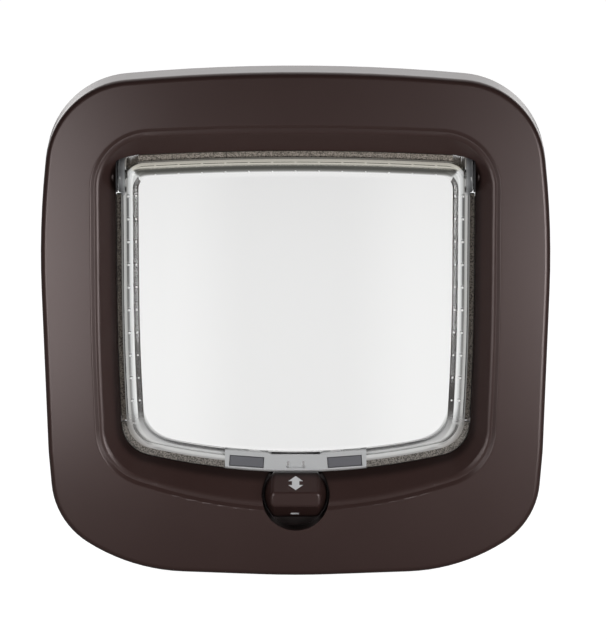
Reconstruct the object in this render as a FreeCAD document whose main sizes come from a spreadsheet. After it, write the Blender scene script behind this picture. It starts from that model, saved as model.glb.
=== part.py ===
import FreeCAD, Part
import math
import os

from FreeCAD import Placement, Rotation, Vector

# A cat flap for a door: a moulded frame with a clear two-way flap, a rotary
# four-way lock under the flap and a liner that runs into the door's cut-out.
# X is to the right seen from the room, Z is up and -Y is towards the room.
# Y = 0 is the door's face, and the origin is the middle of the four fixing holes.

os.makedirs("parts", exist_ok=True)
doc = FreeCAD.newDocument("cat_flap")

# Driving dimensions, in millimetres and degrees.
SIZES = {
    # Outline of the frame, as corners that are rounded by their own radius.
    "frame_half_width": 119.0,
    "frame_top": 122.6,
    "frame_bottom": 121.3,
    "crown_radius": 868.0,
    "shoulder_inset": 7.3,
    "shoulder_drop": 10.0,
    "shoulder_radius": 41.0,
    "flank_height": 45.7,
    "flank_radius": 430.0,
    "waist_inset": 3.4,
    "waist_height": 61.0,
    "waist_radius": 120.0,
    "foot_inset": 6.1,
    "foot_rise": 26.2,
    "foot_radius": 42.5,
    "heel_inset": 41.7,
    "heel_rise": 2.9,
    "heel_radius": 100.0,
    "base_radius": 435.0,
    "rim_depth": 19.0,
    "rim_round": 2.6,
    "wall": 2.4,
    # Opening that the flap hangs in, and the sloped reveal around it.
    "opening_half_width": 83.5,
    "opening_top": 80.8,
    "opening_bottom": 73.1,
    "opening_taper": 2.3,
    "opening_crown": 1268.0,
    "opening_sag": 300.0,
    "opening_corner": 12.0,
    "opening_foot_corner": 16.0,
    "hip_height": 10.0,
    "hip_radius": 1200.0,
    "reveal_depth": 9.1,
    "reveal_half_width": 91.5,
    "reveal_top": 91.2,
    "reveal_bottom": 86.0,
    "reveal_taper": 2.3,
    "reveal_sag": 215.0,
    "reveal_corner": 25.0,
    "lip_width": 1.9,
    "step_width": 1.7,
    "step_depth": 1.15,
    "step_round": 1.2,
    "lip_round": 3.2,
    # Flap: a clear moulding with a thick border and a thin pane.
    "hinge_height": 69.0,
    "hinge_depth": 6.8,
    "swing_front": 85.0,
    "flap_thick": 5.0,
    "pane_thick": 2.4,
    "pane_recess": 1.8,
    "flap_side_gap": 2.6,
    "flap_top_gap": 3.1,
    "flap_bottom_gap": 3.9,
    "flap_sag": 300.0,
    "flap_corner": 11.0,
    "flap_foot_corner": 14.0,
    "border_width": 5.3,
    "bevel_width": 2.6,
    "pane_foot": 63.9,
    "pane_sag": 300.0,
    "pane_corner": 13.0,
    "channel_inset": 2.5,
    "channel_width": 1.4,
    "channel_depth": 2.0,
    "tie_pitch": 10.85,
    "tie_width": 1.0,
    "tie_first": 1.5,
    "ear_radius": 8.4,
    "ear_round": 1.3,
    "ear_gap": 0.95,
    "ear_root": 3.9,
    "ear_room": 10.0,
    "pile_seat": 0.9,
    "pile_clear": 0.45,
    "pile_thick": 3.2,
    "pin_radius": 1.5,
    "pin_play": 0.05,
    "pin_in_ear": 3.4,
    "hinge_boss_radius": 4.2,
    "hinge_boss_length": 11.0,
    # Magnet carrier at the foot of the flap, and the magnets in the sill.
    "carrier_half_width": 33.2,
    "carrier_crest": 62.2,
    "carrier_step": 63.7,
    "carrier_dip": 64.5,
    "carrier_flat": 11.4,
    "carrier_ramp": 1.8,
    "carrier_bottom": 72.1,
    "magnet_long": 16.0,
    "magnet_tall": 5.0,
    "magnet_thick": 3.0,
    "magnet_place": 23.0,
    "magnet_height": 67.9,
    "magnet_tilt": 4.2,
    "magnet_play": 0.15,
    "keeper_place": 24.6,
    "keeper_height": 79.4,
    "keeper_front": 8.0,
    "catch_half_width": 3.6,
    "catch_tall": 4.4,
    "catch_slot": 0.9,
    "catch_foot": 1.3,
    "catch_dip": 0.8,
    # Lock knob, its spindle and the cam behind the flap.
    "knob_height": 83.2,
    "knob_radius": 14.65,
    "knob_flat": 10.6,
    "knob_back": 9.9,
    "knob_rim": 2.7,
    "knob_proud": 2.8,
    "grip_half_long": 11.7,
    "grip_half_thick": 3.15,
    "grip_round": 1.9,
    "grip_side_round": 2.6,
    "recess_radius": 15.7,
    "recess_floor": 9.4,
    "bearing_back": 4.1,
    "spindle_radius": 4.0,
    "spindle_play": 0.08,
    "spindle_flat": 3.5,
    "detent_place": 6.5,
    "detent_wide": 2.0,
    "detent_wire": 0.4,
    "detent_half_long": 12.0,
    "detent_slot_half": 9.0,
    "cam_gap": 0.4,
    "cam_thick": 2.3,
    "cam_radius": 14.65,
    "tenon_half": 2.6,
    # Screws, door fixings and ribs.
    "screw_radius": 1.45,
    "screw_head_radius": 2.8,
    "screw_head_tall": 1.5,
    "screw_length": 9.0,
    "cam_screw_length": 8.0,
    "fixing_x": 99.0,
    "fixing_z": 78.0,
    "fixing_radius": 1.65,
    "fixing_deep": 12.0,
    "boss_radius": 4.5,
    "rib_thick": 1.6,
    "rib_back": 3.0,
    # Liner that runs into the door.
    "liner_gap": 0.8,
    "liner_wall": 2.0,
    "liner_deep": 40.0,
    "flange_thick": 2.4,
    "flange_wide": 6.6,
    "collar_deep": 9.0,
    "collar_step": 0.8,
    "gusset_thick": 1.6,
    "gusset_tall": 5.0,
}

sheet = doc.addObject("Spreadsheet::Sheet", "sizes")
for row, (alias, number) in enumerate(SIZES.items(), start=1):
    cell = "B%d" % row
    sheet.set("A%d" % row, alias)
    sheet.set(cell, str(number))
    sheet.setAlias(cell, alias)
doc.recompute()


class Sizes:
    """Read a driving dimension from the sheet by its name."""

    def __getattr__(self, alias):
        return float(sheet.get(alias))


size = Sizes()

# The sheet's cells serve expressions too, written as sizes.NAME.
FRONT = "XZ_Plane"
SIDE = "YZ_Plane"
EPSILON = 0.001
OVERLAP = 0.6


# Outlines: a convex outline is a list of corners, anticlockwise, with a radius for each.

def grow(outline, distance):
    """Move each side of an outline outwards, and keep its round corners concentric."""
    corners, radii = outline
    count = len(corners)
    moved = []
    for i, corner in enumerate(corners):
        before = (corner - corners[i - 1]).normalize()
        after = (corners[(i + 1) % count] - corner).normalize()
        normal_before = Vector(before.y, -before.x, 0)
        normal_after = Vector(after.y, -after.x, 0)
        middle = (normal_before + normal_after).normalize()
        moved.append(corner + middle * (distance / middle.dot(normal_before)))
    return moved, [radius + distance for radius in radii]


def rounded(outline):
    """Turn an outline into lines and arcs; a radius gives way where its sides are too short."""
    corners, radii = outline
    count = len(corners)
    half_angles = []
    reaches = []
    for i, corner in enumerate(corners):
        half_angle = (corners[i - 1] - corner).getAngle(corners[(i + 1) % count] - corner) / 2
        half_angles.append(half_angle)
        reaches.append(radii[i] / math.tan(half_angle))
    for i in range(count):
        after = (i + 1) % count
        room = (corners[after] - corners[i]).Length / (reaches[i] + reaches[after])
        if room < 1:
            reaches[i] *= room
            reaches[after] *= room
    geometry = []
    ends = []
    for i, corner in enumerate(corners):
        back = (corners[i - 1] - corner).normalize()
        ahead = (corners[(i + 1) % count] - corner).normalize()
        inward = (back + ahead).normalize()
        radius = reaches[i] * math.tan(half_angles[i])
        start = corner + back * reaches[i]
        end = corner + ahead * reaches[i]
        crest = corner + inward * (radius / math.sin(half_angles[i]) - radius)
        geometry.append(Part.Arc(start, crest, end))
        ends.append((start, end))
    for i in range(count):
        after = (i + 1) % count
        if (ends[after][0] - ends[i][1]).Length > EPSILON:
            geometry.append(Part.LineSegment(ends[i][1], ends[after][0]))
    return geometry


def polygon(points):
    """Close straight lines through the points."""
    count = len(points)
    return [Part.LineSegment(points[i], points[(i + 1) % count]) for i in range(count)]


def rectangle(x_low, z_low, x_high, z_high):
    return polygon([Vector(x_low, z_low, 0), Vector(x_high, z_low, 0),
                    Vector(x_high, z_high, 0), Vector(x_low, z_high, 0)])


def circle(x, z, radius):
    return [Part.Circle(Vector(x, z, 0), Vector(0, 0, 1), radius)]


def crossing(outline, start, direction):
    """Distance from a point inside an outline to its edge, along a direction."""
    ray = Part.LineSegment(start, start + direction * 400).toShape()
    wire = Part.Wire(Part.__sortEdges__([piece.toShape() for piece in rounded(outline)]))
    hit = wire.distToShape(ray)[1][0][0]
    return (hit - start).Length


def frame_outline():
    half = [
        (0, size.frame_top, size.crown_radius),
        (size.frame_half_width - size.shoulder_inset, size.frame_top - size.shoulder_drop,
         size.shoulder_radius),
        (size.frame_half_width, size.flank_height, size.flank_radius),
        (size.frame_half_width - size.waist_inset, -size.waist_height, size.waist_radius),
        (size.frame_half_width - size.foot_inset, size.foot_rise - size.frame_bottom,
         size.foot_radius),
        (size.frame_half_width - size.heel_inset, size.heel_rise - size.frame_bottom,
         size.heel_radius),
        (0, -size.frame_bottom, size.base_radius),
    ]
    return mirrored_outline(half)


def mirrored_outline(half):
    """Complete an outline from its right half, listed from the top down."""
    right = [(Vector(x, z, 0), radius) for x, z, radius in half]
    left = [(Vector(-corner.x, corner.y, 0), radius) for corner, radius in right[1:-1]]
    listed = [right[0]] + left + [right[-1]] + right[-2:0:-1]
    return [corner for corner, radius in listed], [radius for corner, radius in listed]


def bowed_outline(half_width, top, bottom, taper, crown, sag, corner_top, corner_foot):
    """A box outline with bowed top and foot, whose sides lean inwards below a soft hip."""
    def apex(height, radius, width, corner):
        slope = math.asin((width - corner) / radius)
        peak = height + radius * (1 / math.cos(slope) - 1)
        return peak, peak - width * math.tan(slope)

    foot_half = half_width - taper
    top_peak, top_corner = apex(top, crown, half_width, corner_top)
    foot_peak, foot_corner = apex(bottom, sag, foot_half, corner_foot)
    return mirrored_outline([
        (0, top_peak, crown),
        (half_width, top_corner, corner_top),
        (half_width, -size.hip_height, size.hip_radius),
        (foot_half, -foot_corner, corner_foot),
        (0, -foot_peak, sag),
    ])


def opening_outline():
    return bowed_outline(size.opening_half_width, size.opening_top, size.opening_bottom,
                         size.opening_taper, size.opening_crown, size.opening_sag,
                         size.opening_corner, size.opening_foot_corner)


def reveal_outline():
    return bowed_outline(size.reveal_half_width, size.reveal_top, size.reveal_bottom,
                         size.reveal_taper, size.opening_crown, size.reveal_sag,
                         size.reveal_corner, size.reveal_corner)


def flap_outline():
    return bowed_outline(size.opening_half_width - size.flap_side_gap,
                         size.opening_top - size.flap_top_gap,
                         size.opening_bottom - size.flap_bottom_gap,
                         size.opening_taper, size.opening_crown, size.flap_sag,
                         size.flap_corner, size.flap_foot_corner)


def pane_outline():
    inset = size.flap_side_gap + size.border_width + size.bevel_width
    return bowed_outline(size.opening_half_width - inset,
                         size.opening_top - size.flap_top_gap - size.border_width
                         - size.bevel_width + OVERLAP,
                         size.pane_foot, size.opening_taper, size.opening_crown,
                         size.pane_sag, size.pane_corner / 2, size.pane_corner)


# Features: each helper adds one sketch or one feature to a body.

def new_body(label):
    body = doc.addObject("PartDesign::Body", label)
    body.Label = label
    return body


def sketch(body, name, loops, depth="0", plane=FRONT):
    """Draw closed loops on one of the body's planes, moved along the plane's normal."""
    drawn = body.newObject("Sketcher::SketchObject", name)
    support = next(f for f in body.Origin.OriginFeatures if f.Role == plane)
    drawn.AttachmentSupport = [(support, "")]
    drawn.MapMode = "FlatFace"
    drawn.setExpression("AttachmentOffset.Base.z", depth)
    for loop in loops:
        drawn.addGeometry(loop, False)
    return drawn


def extrude(kind, body, drawn, length, backwards=False):
    """Add a pad or a pocket, and make sure that it changed the solid."""
    doc.recompute()
    before = body.Shape.Volume if body.Tip else 0.0
    feature = body.newObject("PartDesign::" + kind, drawn.Name + "_" + kind.lower())
    feature.Profile = drawn
    feature.setExpression("Length", length)
    feature.Reversed = backwards
    doc.recompute()
    if abs(body.Shape.Volume - before) < EPSILON:
        raise ValueError("%s changed nothing in %s" % (feature.Name, body.Label))
    return feature


def pad(body, drawn, length, backwards=False):
    return extrude("Pad", body, drawn, length, backwards)


def pocket(body, drawn, length, backwards=False):
    """Cut along the sketch's own normal, or against it."""
    return extrude("Pocket", body, drawn, length, not backwards)


def loft(kind, body, name, first, second):
    feature = body.newObject("PartDesign::" + kind, name)
    feature.Profile = first
    feature.Sections = [second]
    feature.Ruled = True
    doc.recompute()
    return feature


def dress(kind, body, name, base, wanted, amount):
    """Fillet or chamfer the edges that a test picks out."""
    doc.recompute()
    names = ["Edge%d" % (i + 1) for i, edge in enumerate(base.Shape.Edges) if wanted(edge)]
    feature = body.newObject("PartDesign::" + kind, name)
    feature.Base = (base, names)
    feature.setExpression("Radius" if kind == "Fillet" else "Size", amount)
    doc.recompute()
    return feature


def at_depth(edge, y, tolerance=0.02):
    """True for an edge that lies in the plane at this Y."""
    return abs(edge.BoundBox.YMin - y) < tolerance and abs(edge.BoundBox.YMax - y) < tolerance


def within(edge, outline):
    """True for an edge whose middle lies inside an outline, seen from the front."""
    middle = edge.valueAt((edge.FirstParameter + edge.LastParameter) / 2)
    reach = Vector(middle.x, middle.z, 0)
    return reach.Length < crossing(outline, Vector(0, 0, 0), reach.normalize())


def is_ring(edge, radius):
    """True for a full circle of this radius."""
    round_edge = edge.Curve.TypeId == "Part::GeomCircle"
    return round_edge and abs(edge.Length - 2 * math.pi * radius) < EPSILON


def turned(label, profile, placement):
    """A piece turned on a lathe: a profile of radius and height, spun about Z and placed."""
    body = new_body(label)
    points = [Vector(radius, height, 0) for radius, height in profile]
    drawn = sketch(body, label + "_profile", [polygon(points)])
    spun = body.newObject("PartDesign::Revolution", label + "_turning")
    spun.Profile = drawn
    spun.ReferenceAxis = (drawn, ["V_Axis"])
    spun.Angle = 360
    body.Placement = placement
    doc.recompute()
    return body


def block(label, length, depth, height, chamfer, placement):
    """A rectangular block centred on its own origin, with chamfered edges."""
    box = doc.addObject("Part::Box", label + "_block")
    box.setExpression("Length", length)
    box.setExpression("Width", depth)
    box.setExpression("Height", height)
    doc.recompute()
    cut = doc.addObject("Part::Chamfer", label)
    cut.Label = label
    cut.Base = box
    cut.Edges = [(i + 1, chamfer, chamfer) for i in range(len(box.Shape.Edges))]
    centre = Vector(-box.Length.Value / 2, -box.Width.Value / 2, -box.Height.Value / 2)
    cut.Placement = placement.multiply(Placement(centre, Rotation()))
    doc.recompute()
    return cut


TO_BACK = Rotation(Vector(1, 0, 0), -90)
TO_FRONT = Rotation(Vector(1, 0, 0), 90)
TO_RIGHT = Rotation(Vector(0, 1, 0), 90)


# Frame: one moulding, hollow from behind.

def add_frame_shell(body):
    outer = sketch(body, "frame_edge", [rounded(frame_outline())])
    blank = pad(body, outer, "sizes.rim_depth")
    dress("Fillet", body, "rim_round", blank, lambda edge: at_depth(edge, -size.rim_depth),
          "sizes.rim_round")
    inside = sketch(body, "hollow_edge", [rounded(grow(frame_outline(), -size.wall))])
    pocket(body, inside, "sizes.rim_depth - sizes.wall")


def add_funnel(body):
    """Add the walls behind the sloped reveal, the tube round the opening and the knob's cup."""
    slope_out = sketch(body, "funnel_front", [rounded(grow(reveal_outline(), size.wall))],
                       "sizes.rim_depth - sizes.wall / 2")
    slope_in = sketch(body, "funnel_back", [rounded(grow(opening_outline(), size.wall))],
                      "sizes.rim_depth - sizes.step_depth - sizes.reveal_depth")
    loft("AdditiveLoft", body, "funnel", slope_out, slope_in)
    tube = sketch(body, "tube_edge", [rounded(grow(opening_outline(), size.wall))])
    pad(body, tube, "sizes.rim_depth - sizes.reveal_depth")
    cup = sketch(body, "cup_edge",
                 [circle(0, -size.knob_height, size.recess_radius + size.wall)],
                 "sizes.bearing_back")
    pad(body, cup, "sizes.rim_depth - sizes.bearing_back - sizes.wall / 2")
    room = size.ear_radius + size.ear_gap + size.wall
    inner = ear_end() - size.ear_room
    outer = ear_end() + size.ear_gap + size.wall
    housings = [rectangle(inner, size.hinge_height - room, outer, size.hinge_height + room),
                rectangle(-outer, size.hinge_height - room, -inner, size.hinge_height + room)]
    pad(body, sketch(body, "ear_housings", housings, "sizes.rib_back"),
        "sizes.rim_depth - sizes.rib_back - sizes.wall / 2")


def cut_reveal(body):
    """Cut the soft step in the face, the slope and the opening, through all behind them."""
    step_width = size.lip_width + size.step_width
    step_front = sketch(body, "step_front", [rounded(grow(reveal_outline(), step_width))],
                        "sizes.rim_depth")
    step_back = sketch(body, "step_back", [rounded(grow(reveal_outline(), size.lip_width))],
                       "sizes.rim_depth - sizes.step_depth")
    loft("SubtractiveLoft", body, "step", step_front, step_back)
    reveal_front = sketch(body, "reveal_front", [rounded(reveal_outline())],
                          "sizes.rim_depth - sizes.step_depth")
    reveal_back = sketch(body, "reveal_back", [rounded(opening_outline())],
                         "sizes.rim_depth - sizes.step_depth - sizes.reveal_depth")
    funnel = loft("SubtractiveLoft", body, "reveal", reveal_front, reveal_back)
    lip_y = size.step_depth - size.rim_depth
    softened = dress("Fillet", body, "lip_round", funnel,
                     lambda edge: (at_depth(edge, lip_y)
                                   and within(edge, grow(reveal_outline(), size.lip_width / 2))),
                     "sizes.lip_round")
    dress("Fillet", body, "step_round", softened,
          lambda edge: (at_depth(edge, -size.rim_depth)
                        and within(edge, grow(reveal_outline(), 2 * step_width))),
          "sizes.step_round")
    opening = sketch(body, "opening_edge", [rounded(opening_outline())])
    pocket(body, opening, "sizes.rim_depth")


def cut_lock_recess(body):
    """Cut the room for the knob and for the cam, the spindle's bore and the click wire's slot."""
    recess = sketch(body, "recess_edge", [circle(0, -size.knob_height, size.recess_radius)],
                    "sizes.recess_floor")
    pocket(body, recess, "sizes.rim_depth")
    behind = sketch(body, "cam_recess_edge",
                    [circle(0, -size.knob_height, size.recess_radius)])
    pocket(body, behind, "sizes.bearing_back")
    bore = sketch(body, "spindle_bore",
                  [circle(0, -size.knob_height, size.spindle_radius + size.spindle_play)])
    pocket(body, bore, "sizes.rim_depth")
    wire_low = -size.knob_height - size.spindle_flat - 2 * size.detent_wire
    slot_half = size.detent_slot_half
    slot = sketch(body, "detent_slot",
                  [rectangle(-slot_half, wire_low - size.wall, slot_half,
                             -size.knob_height - size.spindle_flat + OVERLAP)],
                  "sizes.detent_place - sizes.detent_wide / 2")
    pocket(body, slot, "sizes.detent_wide")
    seat = sketch(body, "detent_seat",
                  [circle(-size.detent_place, detent_height(), size.detent_wire)],
                  "-sizes.detent_half_long", SIDE)
    pocket(body, seat, "2 * sizes.detent_half_long")


def detent_height():
    """Middle of the detent wire, which lies just under a flat of the spindle."""
    return -size.knob_height - size.spindle_flat - size.detent_wire - size.spindle_play


def keeper_loops(margin, margin_top):
    """The outlines of the two fixed magnets under the sill, with a margin round them."""
    half_long = size.magnet_long / 2 + margin
    half_tall = size.magnet_tall / 2 + margin
    centre = -size.keeper_height
    return [rectangle(x - half_long, centre - half_tall, x + half_long,
                      centre + half_tall + margin_top)
            for x in (-size.keeper_place, size.keeper_place)]


def add_keeper_walls(body):
    """Add the two boxes under the sill that the fixed magnets are pushed into."""
    walls = keeper_loops(size.magnet_play + size.rib_thick, size.wall / 2)
    pad(body, sketch(body, "keeper_walls", walls, "sizes.rib_back"),
        "sizes.rim_depth - sizes.rib_back - sizes.wall / 2")


def cut_keeper_pockets(body):
    holes = keeper_loops(size.magnet_play, 0)
    pocket(body, sketch(body, "keeper_pockets", holes), "sizes.keeper_front")


def add_bosses(body):
    """Add the bosses for the door fixings and for the liner's screws."""
    fixing_bosses = [circle(x, z, size.boss_radius) for x, z in fixing_spots()]
    pad(body, sketch(body, "fixing_bosses", fixing_bosses),
        "sizes.rim_depth - sizes.wall / 2")
    liner_bosses = [circle(x, z, size.screw_radius + size.wall) for x, z in liner_screw_spots()]
    pad(body, sketch(body, "liner_bosses", liner_bosses, "sizes.flange_thick"),
        "sizes.rim_depth - sizes.flange_thick - sizes.wall / 2")


def drill_bosses(body):
    fixing_holes = [circle(x, z, size.fixing_radius) for x, z in fixing_spots()]
    pocket(body, sketch(body, "fixing_holes", fixing_holes), "sizes.fixing_deep")
    liner_holes = [circle(x, z, size.screw_radius) for x, z in liner_screw_spots()]
    pocket(body, sketch(body, "liner_holes", liner_holes), "sizes.screw_length + sizes.wall / 2")


def fixing_spots():
    """Where the frame is screwed to the door."""
    return [(x * size.fixing_x, z * size.fixing_z) for x in (-1, 1) for z in (-1, 1)]


def liner_screw_spots():
    """Where the liner's four screws go: in the middle of its flange, on both sides."""
    middle = liner_inner_offset() + size.liner_wall + size.flange_wide / 2
    outline = grow(opening_outline(), middle)
    spots = []
    for height in LINER_SCREW_HEIGHTS:
        x = crossing(outline, Vector(0, height, 0), Vector(1, 0, 0))
        spots.extend([(-x, height), (x, height)])
    return spots


LINER_SCREW_HEIGHTS = (45.0, -38.0)


def liner_inner_offset():
    return size.wall + size.liner_gap


def add_ribs(body):
    """Add thin ribs between the tube and the rim, each let into both walls."""
    inner = grow(opening_outline(), size.wall / 2)
    outer = grow(frame_outline(), -size.wall / 2)
    half = size.rib_thick / 2
    ribs = []
    for x in RIBS_ABOVE:
        low = crossing(inner, Vector(x, 0, 0), Vector(0, 1, 0))
        high = crossing(outer, Vector(x, 0, 0), Vector(0, 1, 0))
        ribs.append(rectangle(x - half, low, x + half, high))
    for x in RIBS_BELOW:
        low = crossing(outer, Vector(x, 0, 0), Vector(0, -1, 0))
        high = crossing(inner, Vector(x, 0, 0), Vector(0, -1, 0))
        ribs.append(rectangle(x - half, -low, x + half, -high))
    for z in RIBS_BESIDE:
        near = crossing(inner, Vector(0, z, 0), Vector(1, 0, 0))
        far = crossing(outer, Vector(0, z, 0), Vector(1, 0, 0))
        ribs.append(rectangle(near, z - half, far, z + half))
        ribs.append(rectangle(-far, z - half, -near, z + half))
    pad(body, sketch(body, "ribs", ribs, "sizes.rib_back"),
        "sizes.rim_depth - sizes.rib_back - sizes.wall / 2")


RIBS_ABOVE = (-64.0, -32.0, 0.0, 32.0, 64.0)
RIBS_BELOW = (-68.0, -46.0, 46.0, 68.0)
RIBS_BESIDE = (28.0, 4.0, -20.0)


def ear_end():
    """How far the flap's ears reach to each side."""
    tube_inside = crossing(opening_outline(), Vector(0, size.hinge_height, 0), Vector(1, 0, 0))
    return tube_inside - size.ear_gap


def add_hinge_bosses(body):
    """Cut the room for each ear in the corner, and add a boss for its pin behind the wall."""
    axis = (-size.hinge_depth, size.hinge_height)
    room = size.ear_room + size.ear_gap
    for side, word in ((-1, "left"), (1, "right")):
        ear = sketch(body, "ear_pocket_" + word, [circle(*axis, size.ear_radius + size.ear_gap)],
                     "%f" % (side * (ear_end() - size.ear_room)), SIDE)
        pocket(body, ear, "%f" % room, side < 0)
    start = ear_end() + size.ear_gap + size.wall / 2
    for side, word in ((-1, "left"), (1, "right")):
        boss = sketch(body, "hinge_boss_" + word, [circle(*axis, size.hinge_boss_radius)],
                      "%f" % (side * start), SIDE)
        pad(body, boss, "sizes.hinge_boss_length", side < 0)
        bore = sketch(body, "hinge_bore_" + word, [circle(*axis, size.pin_radius)],
                      "%f" % (side * (start - size.wall)), SIDE)
        pocket(body, bore, "sizes.hinge_boss_length + 2 * sizes.wall", side < 0)


def build_front_frame():
    body = new_body("front_frame")
    add_frame_shell(body)
    add_funnel(body)
    add_keeper_walls(body)
    add_ribs(body)
    add_bosses(body)
    cut_reveal(body)
    cut_lock_recess(body)
    cut_keeper_pockets(body)
    drill_bosses(body)
    add_hinge_bosses(body)
    return body


# Liner: a flanged tube that screws to the back of the frame.

def build_door_liner():
    body = new_body("door_liner")
    inside = grow(opening_outline(), liner_inner_offset())
    tube_out = grow(inside, size.liner_wall)
    flange_out = grow(tube_out, size.flange_wide)
    flange = sketch(body, "flange", [rounded(flange_out), rounded(inside)])
    pad(body, flange, "sizes.flange_thick")
    tube = sketch(body, "tube", [rounded(tube_out), rounded(inside)])
    pad(body, tube, "sizes.liner_deep - sizes.collar_deep", True)
    collar_out = grow(tube_out, -size.collar_step)
    collar = sketch(body, "collar", [rounded(collar_out), rounded(inside)],
                    "-(sizes.liner_deep - sizes.collar_deep)")
    pad(body, collar, "sizes.collar_deep", True)
    cam_room = sketch(body, "cam_room",
                      [circle(0, -size.knob_height, size.recess_radius + size.wall)])
    pocket(body, cam_room, "sizes.flange_thick")
    holes = sketch(body, "screw_holes",
                   [circle(x, z, size.screw_radius + size.pin_play) for x, z in liner_screw_spots()])
    drilled = pocket(body, holes, "sizes.flange_thick")
    dress("Chamfer", body, "countersinks", drilled,
          lambda edge: at_depth(edge, 0) and is_ring(edge, size.screw_radius + size.pin_play),
          "sizes.screw_head_radius - sizes.screw_radius - sizes.pin_play")
    add_gussets(body, tube_out)
    return body


GUSSETS_ACROSS = (-48.0, 0.0, 48.0)
GUSSETS_UP = (20.0, -12.0)


def add_gussets(body, tube_out):
    """Short ribs in the corner of flange and tube, which centre the liner in the cut-out."""
    half = size.gusset_thick / 2
    bars = []
    for x in GUSSETS_ACROSS:
        low = crossing(tube_out, Vector(x, 0, 0), Vector(0, 1, 0)) - size.liner_wall / 2
        bars.append(rectangle(x - half, low, x + half, low + size.gusset_tall / 2))
    for z in GUSSETS_UP:
        near = crossing(tube_out, Vector(0, z, 0), Vector(1, 0, 0)) - size.liner_wall / 2
        bars.append(rectangle(near, z - half, near + size.gusset_tall / 2, z + half))
        bars.append(rectangle(-near - size.gusset_tall / 2, z - half, -near, z + half))
    pad(body, sketch(body, "gussets", bars), "sizes.gusset_tall", True)


# Flap: a clear moulding with an ear at each top corner.

def build_flap_panel():
    body = new_body("flap_panel")
    back = "sizes.hinge_depth - sizes.flap_thick / 2"
    front = "sizes.hinge_depth + sizes.flap_thick / 2"
    blank = sketch(body, "flap_edge", [rounded(flap_outline())], back)
    pad(body, blank, "sizes.flap_thick")

    bevel_front = sketch(body, "bevel_front", [rounded(grow(pane_outline(), size.bevel_width))],
                         front)
    bevel_back = sketch(body, "bevel_back", [rounded(pane_outline())],
                        front + " - sizes.pane_recess")
    loft("SubtractiveLoft", body, "bevel", bevel_front, bevel_back)
    rear = sketch(body, "rear_recess", [rounded(pane_outline())], back)
    pocket(body, rear, "sizes.flap_thick - sizes.pane_recess - sizes.pane_thick")

    channel_out = grow(flap_outline(), -size.channel_inset)
    channel_in = grow(channel_out, -size.channel_width)
    channel = sketch(body, "channel", [rounded(channel_out), rounded(channel_in)],
                     front + " - sizes.channel_depth")
    pocket(body, channel, "sizes.channel_depth")
    ties = sketch(body, "ties", tie_loops(channel_in, channel_out),
                  front + " - sizes.channel_depth")
    pad(body, ties, "sizes.channel_depth")

    seat_out = grow(flap_outline(), OVERLAP)
    seat_in = grow(flap_outline(), -size.pile_seat)
    seat = sketch(body, "pile_groove", [rounded(seat_out), rounded(seat_in)],
                  "sizes.hinge_depth - sizes.pile_thick / 2")
    pocket(body, seat, "sizes.pile_thick")

    room = sketch(body, "carrier_room", [polygon(carrier_room())], back + " - 1")
    pocket(body, room, "sizes.flap_thick + 2")
    add_ears(body)
    return body


def tie_loops(inner, outer):
    """Small bridges across the channel, evenly spaced along the sides and the top."""
    half = size.tie_width / 2
    loops = []
    first = size.hinge_height - size.ear_radius - size.tie_first
    for k in range(int((first + size.waist_height) / size.tie_pitch)):
        z = first - k * size.tie_pitch
        near = crossing(inner, Vector(0, z, 0), Vector(1, 0, 0)) - OVERLAP / 2
        far = crossing(outer, Vector(0, z, 0), Vector(1, 0, 0)) + OVERLAP / 2
        loops.append(rectangle(near, z - half, far, z + half))
        loops.append(rectangle(-far, z - half, -near, z + half))
    count_across = int((size.opening_half_width - size.opening_corner) / size.tie_pitch)
    for k in range(-count_across, count_across + 1):
        x = k * size.tie_pitch
        low = crossing(inner, Vector(x, 0, 0), Vector(0, 1, 0)) - OVERLAP / 2
        high = crossing(outer, Vector(x, 0, 0), Vector(0, 1, 0)) + OVERLAP / 2
        loops.append(rectangle(x - half, low, x + half, high))
    return loops


def carrier_room():
    """The part of the flap's foot that the magnet carrier fills."""
    wide = size.carrier_half_width
    low = -size.opening_bottom - size.wall
    flat = size.carrier_flat
    ramp = size.carrier_flat + size.carrier_ramp
    return [Vector(-wide, low, 0), Vector(wide, low, 0), Vector(wide, -size.carrier_crest, 0),
            Vector(ramp, -size.carrier_step, 0), Vector(flat, -size.carrier_dip, 0),
            Vector(-flat, -size.carrier_dip, 0), Vector(-ramp, -size.carrier_step, 0),
            Vector(-wide, -size.carrier_crest, 0)]


def add_ears(body):
    """Add the domed ears at the top corners, bored for the hinge pins."""
    axis = (-size.hinge_depth, size.hinge_height)
    end = ear_end()
    for side, word in ((-1, "left"), (1, "right")):
        ear = sketch(body, "ear_" + word, [circle(*axis, size.ear_radius)],
                     "%f" % (side * end), SIDE)
        blank = pad(body, ear, "sizes.ear_root", side > 0)
        dress("Fillet", body, "ear_dome_" + word, blank,
              lambda edge: abs(edge.CenterOfMass.x - side * end) < EPSILON, "sizes.ear_round")
        bore = sketch(body, "pin_bore_" + word,
                      [circle(*axis, size.pin_radius + size.pin_play)],
                      "%f" % (side * end), SIDE)
        pocket(body, bore, "sizes.pin_in_ear + sizes.ear_gap", side > 0)


# Pile strips: brush seals let into the edge of the flap.

PILE_BOXES = {
    "pile_strip_top": ((-73.0, 60.0), (73.0, 100.0)),
    "pile_strip_left": ((-100.0, -48.0), (-60.0, 60.0)),
    "pile_strip_right": ((60.0, -48.0), (100.0, 60.0)),
}


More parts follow.
